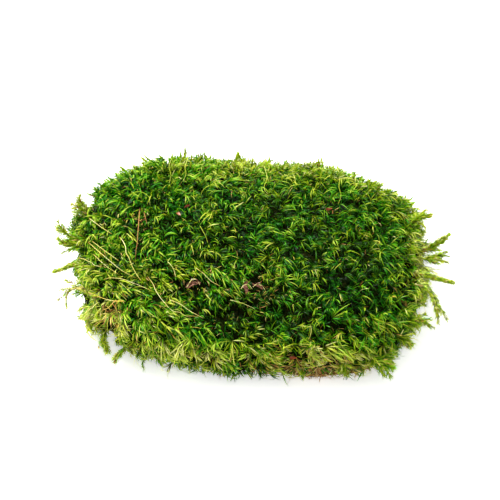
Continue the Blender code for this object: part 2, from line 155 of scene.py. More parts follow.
# Soft patches of tone: pixels across and down, how far they reach, how much they
# shift the tone, and the share of leaves there that are dead. Some paint light and
# shade: the bright patches on the rims and the front are partly the lime of young
# shoots and partly painted light, and the dark one in the crease is painted shade
TONE_PATCHES = (
    # Brighter on the left rim: lime shoots, and painted light from behind
    ((92, 250), (26, 46), 0.20, 0.03),
    ((95, 320), (30, 30), 0.28, 0.04),
    ((140, 265), (40, 40), 0.08, 0.01),
    ((135, 180), (34, 26), 0.00, 0.01),
    ((225, 235), (70, 30), -0.04, 0.00),
    ((158, 312), (46, 34), 0.21, 0.02),
    ((228, 262), (34, 20), 0.12, 0.01),
    ((205, 232), (20, 12), 0.06, 0.01),
    # Brighter on the top and right rims: lime shoots, and painted light from behind
    ((290, 163), (110, 14), 0.27, 0.01),
    ((372, 178), (40, 18), 0.23, 0.01),
    ((425, 205), (18, 28), 0.13, 0.02),
    ((200, 170), (60, 14), 0.08, 0.01),
    # Painted shade in the crease below the left lobe
    ((222, 311), (42, 14), -0.06, 0.03),
    ((212, 282), (26, 12), 0.12, 0.00),
    ((330, 262), (70, 46), -0.06, 0.00),
    # Brighter on the right rim: lime shoots, and painted light from behind
    ((425, 270), (18, 62), 0.36, 0.05),
    ((398, 222), (26, 26), 0.10, 0.02),
    # Painted light on the shaded front side
    ((190, 355), (80, 16), 0.33, 0.04),
    ((330, 356), (80, 14), 0.26, 0.05),
    ((375, 335), (30, 20), 0.08, 0.02),
    ((113, 311), (10, 11), -0.08, 0.75),
    ((193, 284), (11, 8), -0.10, 0.35),
    ((255, 290), (18, 14), -0.02, 0.32),
    ((137, 222), (6, 8), -0.04, 0.30),
    ((312, 368), (46, 8), 0.00, 0.72),
    ((330, 205), (8, 5), 0.00, 0.25),
)

# Patches where fresh green shoots are likelier, or rarer: pixels, reach, shift
FRESH_PATCHES = (
    ((125, 195), (30, 18), 0.7),
    ((108, 205), (14, 10), 0.5),
    ((222, 280), (20, 14), 0.9),
    ((160, 250), (24, 16), 0.4),
    ((385, 225), (18, 12), 0.6),
    ((355, 345), (28, 8), 0.7),
    ((130, 330), (20, 16), 0.4),
    ((95, 250), (24, 24), -0.6),
    ((100, 310), (24, 16), -0.7),
    ((290, 160), (110, 12), -0.4),
    ((425, 275), (16, 50), -0.6),
    ((312, 368), (60, 8), -0.9),
)

# Patches where the leaves fall one way: pixels, reach, the way as an angle seen
# from above, and how strictly they keep to it
COMB_PATCHES = (
    ((168, 312), (50, 34), -22, 0.85),
    ((216, 276), (36, 24), -52, 0.85),
    ((385, 245), (45, 45), -58, 0.60),
    ((120, 190), (40, 30), -150, 0.45),
    ((330, 330), (70, 30), -70, 0.40),
)

# Where the mound is hollowed: pixels across and down, how far the hollow reaches,
# how many millimetres it sinks, and the share of the leaves over it that are missing
HOLLOWS = (
    ((66, 255), (12, 6), 9, 0.9),
    ((62, 282), (14, 8), 9, 0.9),
    ((85, 298), (5, 6), 7, 0.9),
    ((68, 324), (11, 10), 9, 0.9),
    ((110, 333), (5, 7), 9, 0.4),
    ((88, 202), (6, 5), 5, 0.8),
    ((438, 263), (14, 5), 7, 0.9),
    ((442, 293), (9, 9), 6, 0.9),
    ((421, 311), (4, 5), 6, 0.8),
    ((436, 332), (14, 10), 8, 0.9),
    ((412, 351), (9, 6), 7, 0.9),
    ((408, 286), (7, 22), 2.5, 0.35),
    ((225, 313), (36, 11), 1.8, 0.0),
    ((193, 287), (8, 4), 2.5, 0.4),
    ((253, 289), (13, 6), 2.0, 0.3),
    ((138, 236), (4, 16), 1.5, 0.2),
)

# The band at the front where the bare root mat shows
BARE_BAND = ((315, 373), (48, 5), 0.5)

# Dry strands on the moss: thickness in millimetres, tone, then points as pixels
DRY_STRANDS = (
    (0.45, 0.76, ((171, 160), (169, 167), (171, 175), (169, 183))),
    (0.45, 0.76, ((188, 158), (185, 167), (186, 174), (183, 181))),
    (0.45, 0.76, ((264, 166), (267, 177), (264, 188), (268, 194))),
    (0.40, 0.74, ((340, 178), (339, 187), (341, 196), (338, 204))),
    (0.40, 0.72, ((200, 226), (205, 235), (208, 243))),
    (0.50, 0.83, ((196, 268), (204, 274), (211, 281), (220, 286))),
    (0.50, 0.82, ((170, 300), (180, 304), (190, 311), (203, 318))),
    (0.40, 0.80, ((230, 300), (242, 303), (255, 309))),
    (0.70, 0.81, ((187, 287), (190, 282), (193, 279), (197, 280), (200, 285))),
    (0.50, 0.81, ((241, 289), (244, 285), (249, 285), (252, 289))),
    (0.50, 0.81, ((253, 287), (257, 284), (262, 286), (265, 290))),
    (0.45, 0.81, ((168, 262), (173, 268), (176, 277))),
    (0.75, 0.66, ((121, 182), (126, 180), (131, 183), (134, 189))),
    (0.75, 0.65, ((128, 196), (136, 192), (144, 193), (151, 199))),
    (0.75, 0.85, ((124, 301), (114, 301), (105, 299), (97, 296))),
    (0.75, 0.87, ((116, 300), (112, 304), (108, 308), (103, 310))),
    (0.50, 0.91, ((112, 303), (116, 309), (117, 315), (113, 322))),
    (0.45, 0.90, ((270, 364), (279, 367), (287, 366), (294, 369))),
    (0.45, 0.88, ((318, 369), (328, 366), (337, 368), (345, 365))),
)
STRAND_HEIGHT = 4.6 * MM

# A bleached sprig at the front, curled over: its pixels, and how golden it is
PALE_SPRIG = ((308, 355), (310, 351), (314, 348), (319, 349), (322, 353))
PALE_SPRIG_TONE = 0.46


def linear(hex_colour):
    """The linear RGBA of an sRGB hex colour."""
    values = [int(hex_colour[k : k + 2], 16) / 255 for k in (1, 3, 5)]
    return tuple(
        v / 12.92 if v <= 0.04045 else ((v + 0.055) / 1.055) ** 2.4 for v in values
    ) + (1.0,)


def add_node(tree, kind, settings=None, inputs=None, stops=None):
    """A new node with its settings, a value or link on each input, and ramp stops."""
    node = tree.nodes.new(kind)
    for name, value in (settings or {}).items():
        setattr(node, name, value)
    for name, value in (inputs or {}).items():
        if isinstance(value, bpy.types.NodeSocket):
            tree.links.new(value, node.inputs[name])
        else:
            node.inputs[name].default_value = value
    if stops:
        set_stops(node, stops)
    return node


def set_stops(ramp, stops):
    """Gives a colour ramp these places and colours."""
    elements = ramp.color_ramp.elements
    while len(elements) < len(stops):
        elements.new(1)
    for element, (place, colour) in zip(elements, stops):
        element.position = place
    for element, (place, colour) in zip(elements, stops):
        if isinstance(colour, str):
            element.color = linear(colour)
        elif isinstance(colour, (int, float)):
            element.color = (colour, colour, colour, 1)
        else:
            element.color = colour


def blank_material(name):
    """A new material with only its output node, and that node."""
    material = bpy.data.materials.new(name)
    material.use_nodes = True
    material.node_tree.nodes.clear()
    output = add_node(material.node_tree, "ShaderNodeOutputMaterial")
    return material, material.node_tree, output


def tint(name, description, hex_colour):
    """A colour that a user can change, from its sRGB hex value."""
    return bpy.props.FloatVectorProperty(
        name=name,
        description=description,
        default=linear(hex_colour),
        size=4,
        min=0,
        max=1,
        subtype="COLOR",
    )


# Geometry helpers, on arrays of points


def dot(a, b):
    """The dot product of each pair of rows."""
    return np.sum(a * b, axis=-1, keepdims=True)


def unit(rows):
    """Each row at a length of one."""
    return rows / np.maximum(np.linalg.norm(rows, axis=-1, keepdims=True), 1e-12)


def smoothstep(low, high, values):
    """A smooth rise from 0 at low to 1 at high."""
    share = np.clip((values - low) / (high - low), 0, 1)
    return share * share * (3 - 2 * share)


def spline_point(before, start, end, after, share):
    """The point at this share of the way from start to end on a Catmull-Rom curve."""
    square, cube = share**2, share**3
    return 0.5 * (
        2 * start
        + (end - before) * share
        + (2 * before - 5 * start + 4 * end - after) * square
        + (3 * start - before - 3 * end + after) * cube
    )


def smooth_line(points, steps):
    """Points on a smooth curve through the given ones, steps to each stretch."""
    last = len(points) - 1
    line = []
    for i in range(last):
        ends = [points[min(max(i + k, 0), last)] for k in (-1, 0, 1, 2)]
        line += [spline_point(*ends, step / steps) for step in range(steps)]
    return line + [points[-1]]


def even_line(points, step):
    """The line through the points, at even steps about this long."""
    lengths = [(b - a).length for a, b in zip(points, points[1:])]
    count = max(2, round(sum(lengths) / step))
    pace = sum(lengths) / count
    line = [points[0]]
    passed = 0.0
    for start, end, length in zip(points, points[1:], lengths):
        while length and passed + length >= pace * len(line) and len(line) < count:
            line.append(start.lerp(end, (pace * len(line) - passed) / length))
        passed += length
    return line + [points[-1]]


def sight_frame():
    """The eye of the photograph, and the directions that it looks in, up and along."""
    back = Vector((0, -math.cos(SIGHT_TILT), math.sin(SIGHT_TILT)))
    up = Vector((0, math.sin(SIGHT_TILT), math.cos(SIGHT_TILT)))
    return SIGHT_TARGET + back * SIGHT_DISTANCE, -back, up


def sight_line(pixel):
    """The eye, and the direction from it through this pixel of the photograph."""
    eye, _, up = sight_frame()
    across, down = ((value - MIDDLE_PIXEL) * PIXEL for value in pixel)
    seen = SIGHT_TARGET + Vector((across, 0, 0)) - up * down
    return eye, (seen - eye).normalized()


def seen_at(points):
    """Pixels across and down, and the distance ahead of the eye, of each point."""
    eye, ahead, up = (np.array(v) for v in sight_frame())
    away = points - eye
    depth = away @ ahead
    reach = SIGHT_DISTANCE / PIXEL / depth
    return MIDDLE_PIXEL + away[..., 0] * reach, MIDDLE_PIXEL - (away @ up) * reach, depth


def sighted_on(mound, pixel, height):
    """The point at this height over the mound that the photograph shows at the pixel."""
    eye, way = sight_line(pixel)
    travelled = SIGHT_DISTANCE / 2
    seen, least = eye, math.inf
    for _ in range(SIGHT_STEPS):
        point = eye + way * travelled
        over = mound.find_nearest(point)[3] - height
        if abs(over) < least:
            seen, least = point, abs(over)
        travelled += over * SIGHT_CAUTION
    return seen


def sighted_beside(root, pixel):
    """Where the photograph shows the pixel, as far from the eye as the root is."""
    eye, way = sight_line(pixel)
    facing = (SIGHT_TARGET - eye).normalized()
    return eye + way * ((root - eye).dot(facing) / way.dot(facing))


def lifted(mound, point, height):
    """The point, moved off the mound and the ground until it is at least this high."""
    near, outward, _, away = mound.find_nearest(point)
    if (point - near).dot(outward) < 0 or away < height:
        point = near + outward * height
    return Vector((point.x, point.y, max(point.z, height)))


def shoot_line(mound, thickness, pixels):
    """The middle line of a leafy shoot's solid."""
    root = sighted_on(mound, pixels[0], SHOOT_ROOT_HEIGHT)
    seen = [root] + [sighted_beside(root, pixel) for pixel in pixels[1:]]
    line = even_line(smooth_line(seen, LINE_STEPS), SHOOT_STEP)
    return [lifted(mound, p, 0.4 * thickness * MM + SHOOT_CLEARANCE) for p in line]


def stalk_line(mound, height, pixels):
    """The middle line of a stalk's solid."""
    seen = [sighted_on(mound, pixel, height * MM) for pixel in pixels]
    line = even_line(smooth_line(seen, LINE_STEPS), STALK_STEP)
    return [lifted(mound, point, height * MM) for point in line]


def resting_frame(mound, pixel, height, turn):
    """Where a scrap lies on the mound, with its length turned this many degrees."""
    place = sighted_on(mound, pixel, height)
    outward = mound.find_nearest(place)[1]
    lie = outward.to_track_quat("Z", "Y").to_matrix().to_4x4()
    return Matrix.Translation(place) @ lie @ Matrix.Rotation(math.radians(turn), 4, "Z")


class Skin:
    """Points, faces and their places on the colour strip, gathered into one mesh."""

    def __init__(self):
        self.points = []
        self.corners = []
        self.sizes = []
        self.spots = []
        self.count = 0

    def add(self, points, corners, sizes, spots):
        """Adds faces: corners index the points, and sizes say how many each has."""
        self.points.append(points.reshape(-1, 3))
        self.spots.append(spots.reshape(-1, 2))
        self.corners.append(np.asarray(corners, np.int64).ravel() + self.count)
        self.sizes.append(np.asarray(sizes, np.int64).ravel())
        self.count += len(self.points[-1])

    def mesh(self, name, material, map_name="OFBake"):
        """The mesh, smooth shaded, with its places on the strip as a UV map."""
        points = np.concatenate(self.points)
        corners = np.concatenate(self.corners)
        sizes = np.concatenate(self.sizes)
        spots = np.concatenate(self.spots)
        mesh = bpy.data.meshes.new(name)
        mesh.vertices.add(len(points))
        mesh.vertices.foreach_set("co", points.astype(np.float32).ravel())
        mesh.loops.add(len(corners))
        mesh.loops.foreach_set("vertex_index", corners.astype(np.int32))
        mesh.polygons.add(len(sizes))
        starts = np.concatenate(([0], np.cumsum(sizes)[:-1]))
        mesh.polygons.foreach_set("loop_start", starts.astype(np.int32))
        layer = mesh.uv_layers.new(name=map_name)
        layer.data.foreach_set("uv", spots[corners].astype(np.float32).ravel())
        mesh.polygons.foreach_set("use_smooth", np.ones(len(sizes), bool))
        mesh.materials.append(material)
        mesh.update(calc_edges=True)
        mesh.validate()
        return mesh


# A leaf blade: how many points cross it, and its rows from the foot up, each at a
# share of its length and of its width
SHORT_BLADE = (2, ((0.0, 0.5), (0.22, 0.9), (0.45, 1.0), (0.68, 0.78), (0.87, 0.42)))
LONG_BLADE = (
    3,
    ((0.0, 0.45), (0.16, 0.8), (0.34, 1.0), (0.52, 0.94), (0.70, 0.74), (0.87, 0.40)),
)
TONE_ACROSS = 0.002

# The fresh greens lie on the second half of the moss leaves' colour strip
FRESH_START = 0.5
SHORTENINGS = 5


def arc(blades, share):
    """Each blade's point and heading at this share of its length: it bends as an arc."""
    way, bend = unit(blades["way"]), blades["bend"]
    length = np.reshape(blades["length"], (-1, 1))
    turn = np.maximum(np.linalg.norm(bend, axis=1, keepdims=True), 0.02)
    aside = unit(bend - way * dot(bend, way))
    ahead = length / turn * np.sin(turn * share)
    over = length / turn * (1 - np.cos(turn * share))
    heading = way * np.cos(turn * share) + aside * np.sin(turn * share)
    return blades["start"] + way * ahead + aside * over, heading


def grow_blades(skin, blades, profile=SHORT_BLADE):
    """Adds leaf blades that taper to a point and bend by the length of their bend."""
    columns, profile = profile
    blades = dict(blades)
    low, high = (np.array(corner) for corner in CAD_SPAN)
    for _ in range(SHORTENINGS):
        tip, _ = arc(blades, 1.0)
        out = np.any((tip < low + 0.2 * MM) | (tip > high - 0.1 * MM), axis=1)
        blades["length"] = np.where(out, 0.8 * blades["length"], blades["length"])
    width, cup = (np.reshape(blades[k], (-1, 1)) for k in ("width", "cup"))
    tone = np.clip(blades["tone"], 0.006, 0.994)
    if "fresh" in blades:
        tone = on_moss_strip(tone, blades["fresh"])
    count, rows = len(width), len(profile)
    each = columns * rows + 1
    points = np.empty((count, each, 3))
    spots = np.empty((count, each, 2))
    signs = (-1, 1) if columns == 2 else (-1, 0, 1)
    for row, (share, spread) in enumerate(profile):
        middle, heading = arc(blades, share)
        across = unit(blades["side"] - heading * dot(blades["side"], heading))
        fold = np.cross(heading, across)
        half = 0.5 * spread * width
        for column, sign in enumerate(signs):
            wing = across * (sign * np.cos(cup)) + fold * (abs(sign) * np.sin(cup))
            points[:, columns * row + column] = middle + half * wing
            spots[:, columns * row + column, 0] = 0.01 + 0.98 * share
            spots[:, columns * row + column, 1] = tone + sign * TONE_ACROSS
    points[:, -1], _ = arc(blades, 1.0)
    spots[:, -1, 0] = 0.99
    spots[:, -1, 1] = tone
    corners, sizes = blade_faces(rows, columns)
    corners = corners[None] + each * np.arange(count)[:, None]
    skin.add(keep_inside(points), corners, np.tile(sizes, count), spots)


def on_moss_strip(tone, fresh=0.0):
    """Where a tone lies on the moss leaves' strip: olive greens first, then fresh ones."""
    return FRESH_START * (np.clip(tone, 0.02, 0.98) + fresh)


def blade_faces(rows, columns):
    """The corners and the sizes of one blade's faces."""
    corners = []
    for row in range(rows - 1):
        for k in range(columns * row, columns * row + columns - 1):
            corners += [k, k + 1, k + columns + 1, k + columns]
    tip = columns * rows
    for k in range(tip - columns, tip - 1):
        corners += [k, k + 1, tip]
    sizes = [4] * ((rows - 1) * (columns - 1)) + [3] * (columns - 1)
    return np.array(corners), np.array(sizes)


def keep_inside(points):
    """The points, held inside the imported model's box and off the ground."""
    low, high = (np.array(corner) for corner in CAD_SPAN)
    return np.clip(points, low + 0.05 * MM, high - 0.05 * MM)


def cad_span():
    """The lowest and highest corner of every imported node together."""
    boxes = [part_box(name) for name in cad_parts]
    low = [min(box[0][k] for box in boxes) for k in range(3)]
    high = [max(box[1][k] for box in boxes) for k in range(3)]
    return low, high


CAD_SPAN = cad_span()


def grow_tube(skin, line, radii, sides, along, tone, relief=(0.0, 1.0)):
    """Adds a closed stem through the points: the relief is its ribs and its flat side."""
    ribs, flat = relief
    line = np.array([tuple(p) for p in line])
    radii = np.array(radii)
    count = len(line)
    headings = unit(np.gradient(line, axis=0))
    side = np.cross(headings[0], (0.31, 0.27, 0.91))
    angles = np.arange(sides) * (math.tau / sides)
    rib = np.where(np.arange(sides) % 2, -ribs, ribs)
    points = np.empty((count, sides, 3))
    for i, heading in enumerate(headings):
        side = side - heading * float(np.dot(side, heading))
        side = side / np.linalg.norm(side)
        over = np.cross(heading, side)
        rise = np.sin(angles) * np.where(np.sin(angles) < 0, flat, 1.0)
        circle = np.cos(angles)[:, None] * side + rise[:, None] * over
        points[i] = line[i] + radii[i] * circle * (1 + rib)[:, None]
    spots = np.empty((count, sides, 2))
    spots[..., 0] = np.asarray(along)[:, None]
    spots[..., 1] = np.asarray(tone)[:, None] + 0.4 * rib
    spots = np.clip(spots, 0.01, 0.99)
    here = np.arange(count - 1)[:, None] * sides + np.arange(sides)[None]
    after = np.arange(count - 1)[:, None] * sides + (np.arange(sides) + 1)[None] % sides
    quads = np.stack((here, after, after + sides, here + sides), -1).reshape(-1, 4)
    caps = np.concatenate((np.arange(sides)[::-1], (count - 1) * sides + np.arange(sides)))
    corners = np.concatenate((quads.ravel(), caps))
    sizes = np.concatenate((np.full(len(quads), 4), (sides, sides)))
    skin.add(points, corners, sizes, spots)


# The mound that carries the leaves


class Mound:
    """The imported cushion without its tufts: what every shoot grows from."""

    def __init__(self):
        shape = bmesh.new()
        shape.from_mesh(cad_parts["moss_cushion"].data)
        bmesh.ops.remove_doubles(shape, verts=shape.verts, dist=0.001 * MM)
        tips = [v for v in shape.verts if len(v.link_faces) == 3]
        self.tufts = [(v.co.copy(), [e.other_vert(v).co.copy() for e in v.link_edges]) for v in tips]
        bmesh.ops.dissolve_verts(shape, verts=tips)
        bmesh.ops.triangulate(shape, faces=shape.faces)
        bmesh.ops.recalc_face_normals(shape, faces=shape.faces)
        self.shape = shape
        self.tree = BVHTree.FromBMesh(shape)

    def mesh(self, name):
        """The mound's surface as a mesh, with its hollows sunk."""
        shape = self.shape.copy()
        bmesh.ops.subdivide_edges(shape, edges=shape.edges[:], cuts=1, use_grid_fill=True)
        shape.normal_update()
        places = np.array([tuple(v.co) for v in shape.verts])
        outward = np.array([tuple(v.normal) for v in shape.verts])
        sunk, _ = hollows(places, outward)
        places -= outward * sunk[:, None]
        for vert, place in zip(shape.verts, places):
            vert.co = place
            vert.co.z = max(vert.co.z, 0.5 * MM)
        mesh = bpy.data.meshes.new(name)
        shape.to_mesh(mesh)
        shape.free()
        return mesh


def hollows(places, outward):
    """How deep each place on the mound is sunk, and how near it is to a hollow."""
    across, down, _ = seen_at(places)
    seen = smoothstep(-0.75, -0.15, -(outward @ np.array(sight_frame()[1])))
    sunk, near = np.zeros(len(places)), np.zeros(len(places))
    for (x, y), (wide, high), depth, _ in HOLLOWS:
        here = np.exp(-(((across - x) / wide) ** 2 + ((down - y) / high) ** 2) / 1.6) * seen
        sunk = np.maximum(sunk, here * depth * MM)
        near = np.maximum(near, here)
    return sunk, near


mound = Mound()


def litter_lines():
    """The middle line of every shoot, stalk and needle, by its node's name."""
    lines = {}
    for name, (thickness, *_, pixels) in LEAFY_SHOOTS.items():
        lines[f"leafy_shoot_{name}"] = shoot_line(mound.tree, thickness, pixels)
    for name, (height, _, pixels) in STRAW_STALKS.items():
        lines[f"straw_stalk_{name}"] = stalk_line(mound.tree, height, pixels)
    for name, (height, _, pixels) in PINE_NEEDLES.items():
        lines[f"pine_needle_{name}"] = stalk_line(mound.tree, height, pixels)
    return lines


LINES = litter_lines()


def put(name, mesh, node=None):
    """Links a piece, rides it on the clump and hides the imported node it stands for."""
    piece = bpy.data.objects.new(name, mesh)
    bpy.context.scene.collection.objects.link(piece)
    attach(piece, "root")
    if node:
        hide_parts(node)
    return piece


# Materials


def strip_material(name, tones, shading, grain, finish):
    """A thin piece's material: its tone across a strip, and shading and grain along it."""
    roughness, gloss, through = finish
    along, across, depth = grain
    material, tree, output = blank_material(name)
    place = add_node(tree, "ShaderNodeUVMap", {"uv_map": "OFBake"})
    parts = add_node(tree, "ShaderNodeSeparateXYZ", inputs={"Vector": place.outputs["UV"]})
    spread = add_node(
        tree,
        "ShaderNodeMapping",
        inputs={"Vector": place.outputs["UV"], "Scale": (along, across, 1.0)},
    )
    flecks = add_node(
        tree,
        "ShaderNodeTexNoise",
        inputs={"Vector": spread.outputs["Vector"], "Scale": 1.0, "Detail": 3.0},
    ).outputs["Fac"]
    ramps = [
        add_node(tree, "ShaderNodeValToRGB", inputs={"Fac": factor}, stops=stops)
        for factor, stops in (
            (parts.outputs["Y"], tones),
            (parts.outputs["X"], shading),
            (flecks, ((0.35, 1 - depth), (0.60, 1.0))),
            (flecks, ((0.3, roughness + 0.12), (0.7, roughness - 0.08))),
        )
    ]
    tone, shade, specks, rough = [ramp.outputs["Color"] for ramp in ramps]
    blend = {"data_type": "RGBA", "blend_type": "MULTIPLY"}
    tone = add_node(tree, "ShaderNodeMix", blend, {0: 1.0, 6: tone, 7: shade}).outputs[2]
    colour = add_node(tree, "ShaderNodeMix", blend, {0: 1.0, 6: tone, 7: specks}).outputs[2]
    bumps = add_node(
        tree,
        "ShaderNodeBump",
        inputs={"Height": flecks, "Distance": 0.04 * MM, "Strength": 0.6},
    )
    surface = add_node(
        tree,
        "ShaderNodeBsdfPrincipled",
        inputs={
            "Base Color": colour,
            "Roughness": rough,
            "IOR": CUTIN_IOR,
            "Specular IOR Level": gloss,
            "Normal": bumps.outputs["Normal"],
        },
    ).outputs["BSDF"]
    if through:
        behind = add_node(tree, "ShaderNodeBsdfTranslucent", inputs={"Color": colour})
        surface = add_node(
            tree,
            "ShaderNodeMixShader",
            inputs={0: through, 1: surface, 2: behind.outputs["BSDF"]},
        ).outputs["Shader"]
    tree.links.new(surface, output.inputs["Surface"])
    return material


def packed_material(name, stops, size, roughness):
    """A matted, lumpy mass: noise in flecks of this size gives its colour and relief."""
    material, tree, output = blank_material(name)
    place = add_node(tree, "ShaderNodeTexCoord").outputs["Object"]
    grain = add_node(
        tree,
        "ShaderNodeTexNoise",
        inputs={"Vector": place, "Scale": 1 / size, "Detail": 4.0},
    ).outputs["Fac"]
    rows = (stops, ((0.3, roughness), (0.7, roughness - 0.15)))
    ramps = [
        add_node(tree, "ShaderNodeValToRGB", inputs={"Fac": grain}, stops=row) for row in rows
    ]
    bumps = add_node(
        tree,
        "ShaderNodeBump",
        inputs={"Height": grain, "Distance": 0.4 * size, "Strength": 1.0},
    )
    surface = add_node(
        tree,
        "ShaderNodeBsdfPrincipled",
        inputs={
            "Base Color": ramps[0].outputs["Color"],
            "Roughness": ramps[1].outputs["Color"],
            "Specular IOR Level": 0.0,
            "Normal": bumps.outputs["Normal"],
        },
    )
    tree.links.new(surface.outputs["BSDF"], output.inputs["Surface"])
    return material


def moss_leaf_cuticle(colours):
    """Living moss leaf, one cell thick: satin on top, and green light comes through."""
    # Its cells are 0.05 mm long and too fine to show, so they are drawn as 0.3 mm flecks
    olive = (
        (0.00, "#081B00"),
        (0.12, colours.leaf_shade),
        (0.26, "#245A00"),
        (0.40, colours.leaf_green),
        (0.52, "#6C9A06"),
        (0.64, colours.leaf_lime),
        (0.74, "#C6D03E"),
        (0.80, "#EBE99C"),
        (0.84, "#E2C548"),
        (0.87, "#D2AE62"),
        (0.91, colours.leaf_dead),
        (0.94, "#84502A"),
        (0.98, "#3C2412"),
    )
    fresh = (
        (0.02, "#031A00"),
        (0.12, "#073802"),
        (0.26, "#155F01"),
        (0.40, colours.leaf_fresh),
        (0.52, "#5CA606"),
        (0.64, "#90BE18"),
        (0.76, "#C2D548"),
        (0.98, "#E4EAA4"),
    )
    tones = [(FRESH_START * place, colour) for place, colour in olive]
    tones += [(FRESH_START * (1 + place), colour) for place, colour in fresh]
    # Painted shade along each leaf: its foot is darkened as the shade deep among the shoots, and its tip
    # stays bright
    shading = ((0.0, 0.10), (0.3, 0.42), (0.6, 0.92), (0.85, 1.0), (1.0, 0.9))
    return strip_material(
        "moss_leaf_cuticle", tones, shading, (20.0, 60.0, 0.10), (0.38, 0.16, 0.30)
    )


def dead_root_felt(colours):
    """Dead stems and root hairs, dry and matt: rust to straw, with no gloss."""
    tones = (
        (0.00, "#1F120A"),
        (0.25, "#4E2F18"),
        (0.45, colours.mat_rust),
        (0.62, "#A5793F"),
        (0.80, colours.mat_straw),
        (1.00, "#E4D29C"),
    )
    shading = ((0.0, 0.55), (0.5, 1.0), (1.0, 0.8))
    # Fibres split lengthways into threads 0.1 mm wide, drawn as 0.6 mm streaks
    return strip_material(
        "dead_root_felt", tones, shading, (10.0, 50.0, 0.25), (0.85, 0.1, 0)
    )


def packed_humus():
    """Crumbly peat that holds the mat together: dark, matt, with crumbs of 1.4 mm."""
    stops = ((0.34, "#20130A"), (0.52, "#573A1F"), (0.70, "#94703E"))
    return packed_material("packed_humus", stops, 1.4 * MM, 0.98)


def shaded_moss_stems():
    """Old stems deep in the cushion, matted 1.1 mm thick: painted near black, as shade, so almost no
    light comes back.
    """
    stops = ((0.35, "#040701"), (0.52, "#0D1604"), (0.68, "#21190A"))
    return packed_material("shaded_moss_stems", stops, 1.1 * MM, 0.95)


def dry_grass_culm(colours):
    """Dry grass stem: a smooth hard skin with fine ribs, straw to amber, pale inside."""
    tones = (
        (0.00, "#7A4316"),
        (0.25, "#B4792C"),
        (0.50, "#C9AC4C"),
        (0.75, colours.straw),
        (1.00, "#ECE8B6"),
    )
    shading = ((0.0, 0.80), (0.2, 1.0), (0.9, 1.0), (1.0, 0.75))
    return strip_material(
        "dry_grass_culm", tones, shading, (24.0, 90.0, 0.18), (0.5, 0.2, 0)
    )


def dry_pine_needle(colours):
    """Fallen pine needle: waxy skin over a foxy brown, flat on one side."""
    tones = ((0.00, "#2E160A"), (0.50, colours.needle), (1.00, "#A2763C"))
    shading = ((0.0, 0.55), (0.08, 1.0), (0.9, 0.95), (1.0, 0.6))
    return strip_material(
        "dry_pine_needle", tones, shading, (30.0, 60.0, 0.22), (0.5, 0.15, 0)
    )


def dry_leaf_litter(colours):
    """Dry broad leaf: papery, blotched pink and tan, with a little light through it."""
    tones = (
        (0.00, "#20110B"),
        (0.30, "#5C382A"),
        (0.62, colours.litter),
        (0.80, "#DCBFA6"),
        (1.00, "#F0E6D2"),
    )
    shading = ((0.0, 0.75), (0.3, 1.0), (0.8, 1.0), (1.0, 0.8))
    # Its veinlets are 0.2 mm apart and too fine to show, so they are drawn at 0.5 mm
    return strip_material(
        "dry_leaf_litter", tones, shading, (14.0, 14.0, 0.3), (0.7, 0.15, 0.2)
    )


def bud_scale_resin(colours):
    """Bud scale: thin chestnut brown skin, semi-gloss with dried resin."""
    tones = (
        (0.00, "#3A1A0E"),
        (0.35, colours.bud),
        (0.60, "#B5552A"),
        (1.00, "#E6CDB6"),
    )
    shading = ((0.0, 0.45), (0.5, 1.0), (1.0, 0.95))
    return strip_material(
        "bud_scale_resin", tones, shading, (8.0, 20.0, 0.25), (0.45, 0.25, 0)
    )


# Properties


class MossLeafSettings(bpy.types.PropertyGroup):
    """How the living leaves grow."""

    shoot_spacing: bpy.props.FloatProperty(
        name="Shoot spacing",
        description="Least distance between two shoots",
        default=2.55 * MM,
        unit="LENGTH",
    )
    leaves_per_shoot: bpy.props.IntProperty(
        name="Leaves per shoot",
        description="How many leaves stand on each shoot",
        default=21,
    )
    leaf_length: bpy.props.FloatProperty(
        name="Leaf length",
        description="Length of a full-grown leaf along its curve",
        default=6.4 * MM,
        unit="LENGTH",
    )
    leaf_width: bpy.props.FloatProperty(
        name="Leaf width",
        description="Width of a leaf at its widest",
        default=0.56 * MM,
        unit="LENGTH",
    )
    curl: bpy.props.FloatProperty(
        name="Curl",
        description="How far a leaf turns from its foot to its tip",
        default=1.6,
        unit="ROTATION",
    )
    tuft_width: bpy.props.FloatProperty(
        name="Tuft width",
        description="Width of the tufts that the shoots stand together in",
        default=13 * MM,
        unit="LENGTH",
    )
    shoot_contrast: bpy.props.FloatProperty(
        name="Shoot contrast",
        description="How much the tone differs from shoot to shoot",
        default=0.075,
    )
    leaf_contrast: bpy.props.FloatProperty(
        name="Leaf contrast",
        description="How much the tone differs from leaf to leaf",
        default=0.125,
    )
    sickle_glow: bpy.props.FloatProperty(
        name="Sickle leaf glow",
        description="How much brighter the long curved leaves are than the rest",
        default=0.29,
    )
    spear_share: bpy.props.FloatProperty(
        name="Closed tips",
        description="Share of the shoots that end in a closed, rolled tip",
        subtype="FACTOR",
        default=0.16,
    )


class ColourSettings(bpy.types.PropertyGroup):
    """The colours of the moss, of the mat below it and of what lies on it."""

    leaf_shade: tint("Shaded leaf", "Old leaves, deep between the shoots", "#143500")
    leaf_green: tint("Leaf green", "Full-grown leaves", "#3E7D02")
    leaf_fresh: tint("Fresh green", "Full-grown leaves of the fresh shoots", "#2A8704")
    leaf_lime: tint("Lime tip", "Young leaves at the heads of the shoots", "#9FB614")
    leaf_dead: tint("Dead leaf", "Withered moss leaves", "#B07A3A")
    mat_rust: tint("Rusty root", "Root hairs and dead stems of the mat", "#7E4E27")
    mat_straw: tint("Pale root", "The bleached fibres of the mat", "#C9A864")
    straw: tint("Straw", "Dry grass stalks", "#DDD06C")
    needle: tint("Needle", "Fallen pine needles", "#6B3F1C")
    litter: tint("Leaf litter", "Curled dead leaves", "#A8795F")
    bud: tint("Bud scale", "Fallen bud scales", "#7A3B1E")


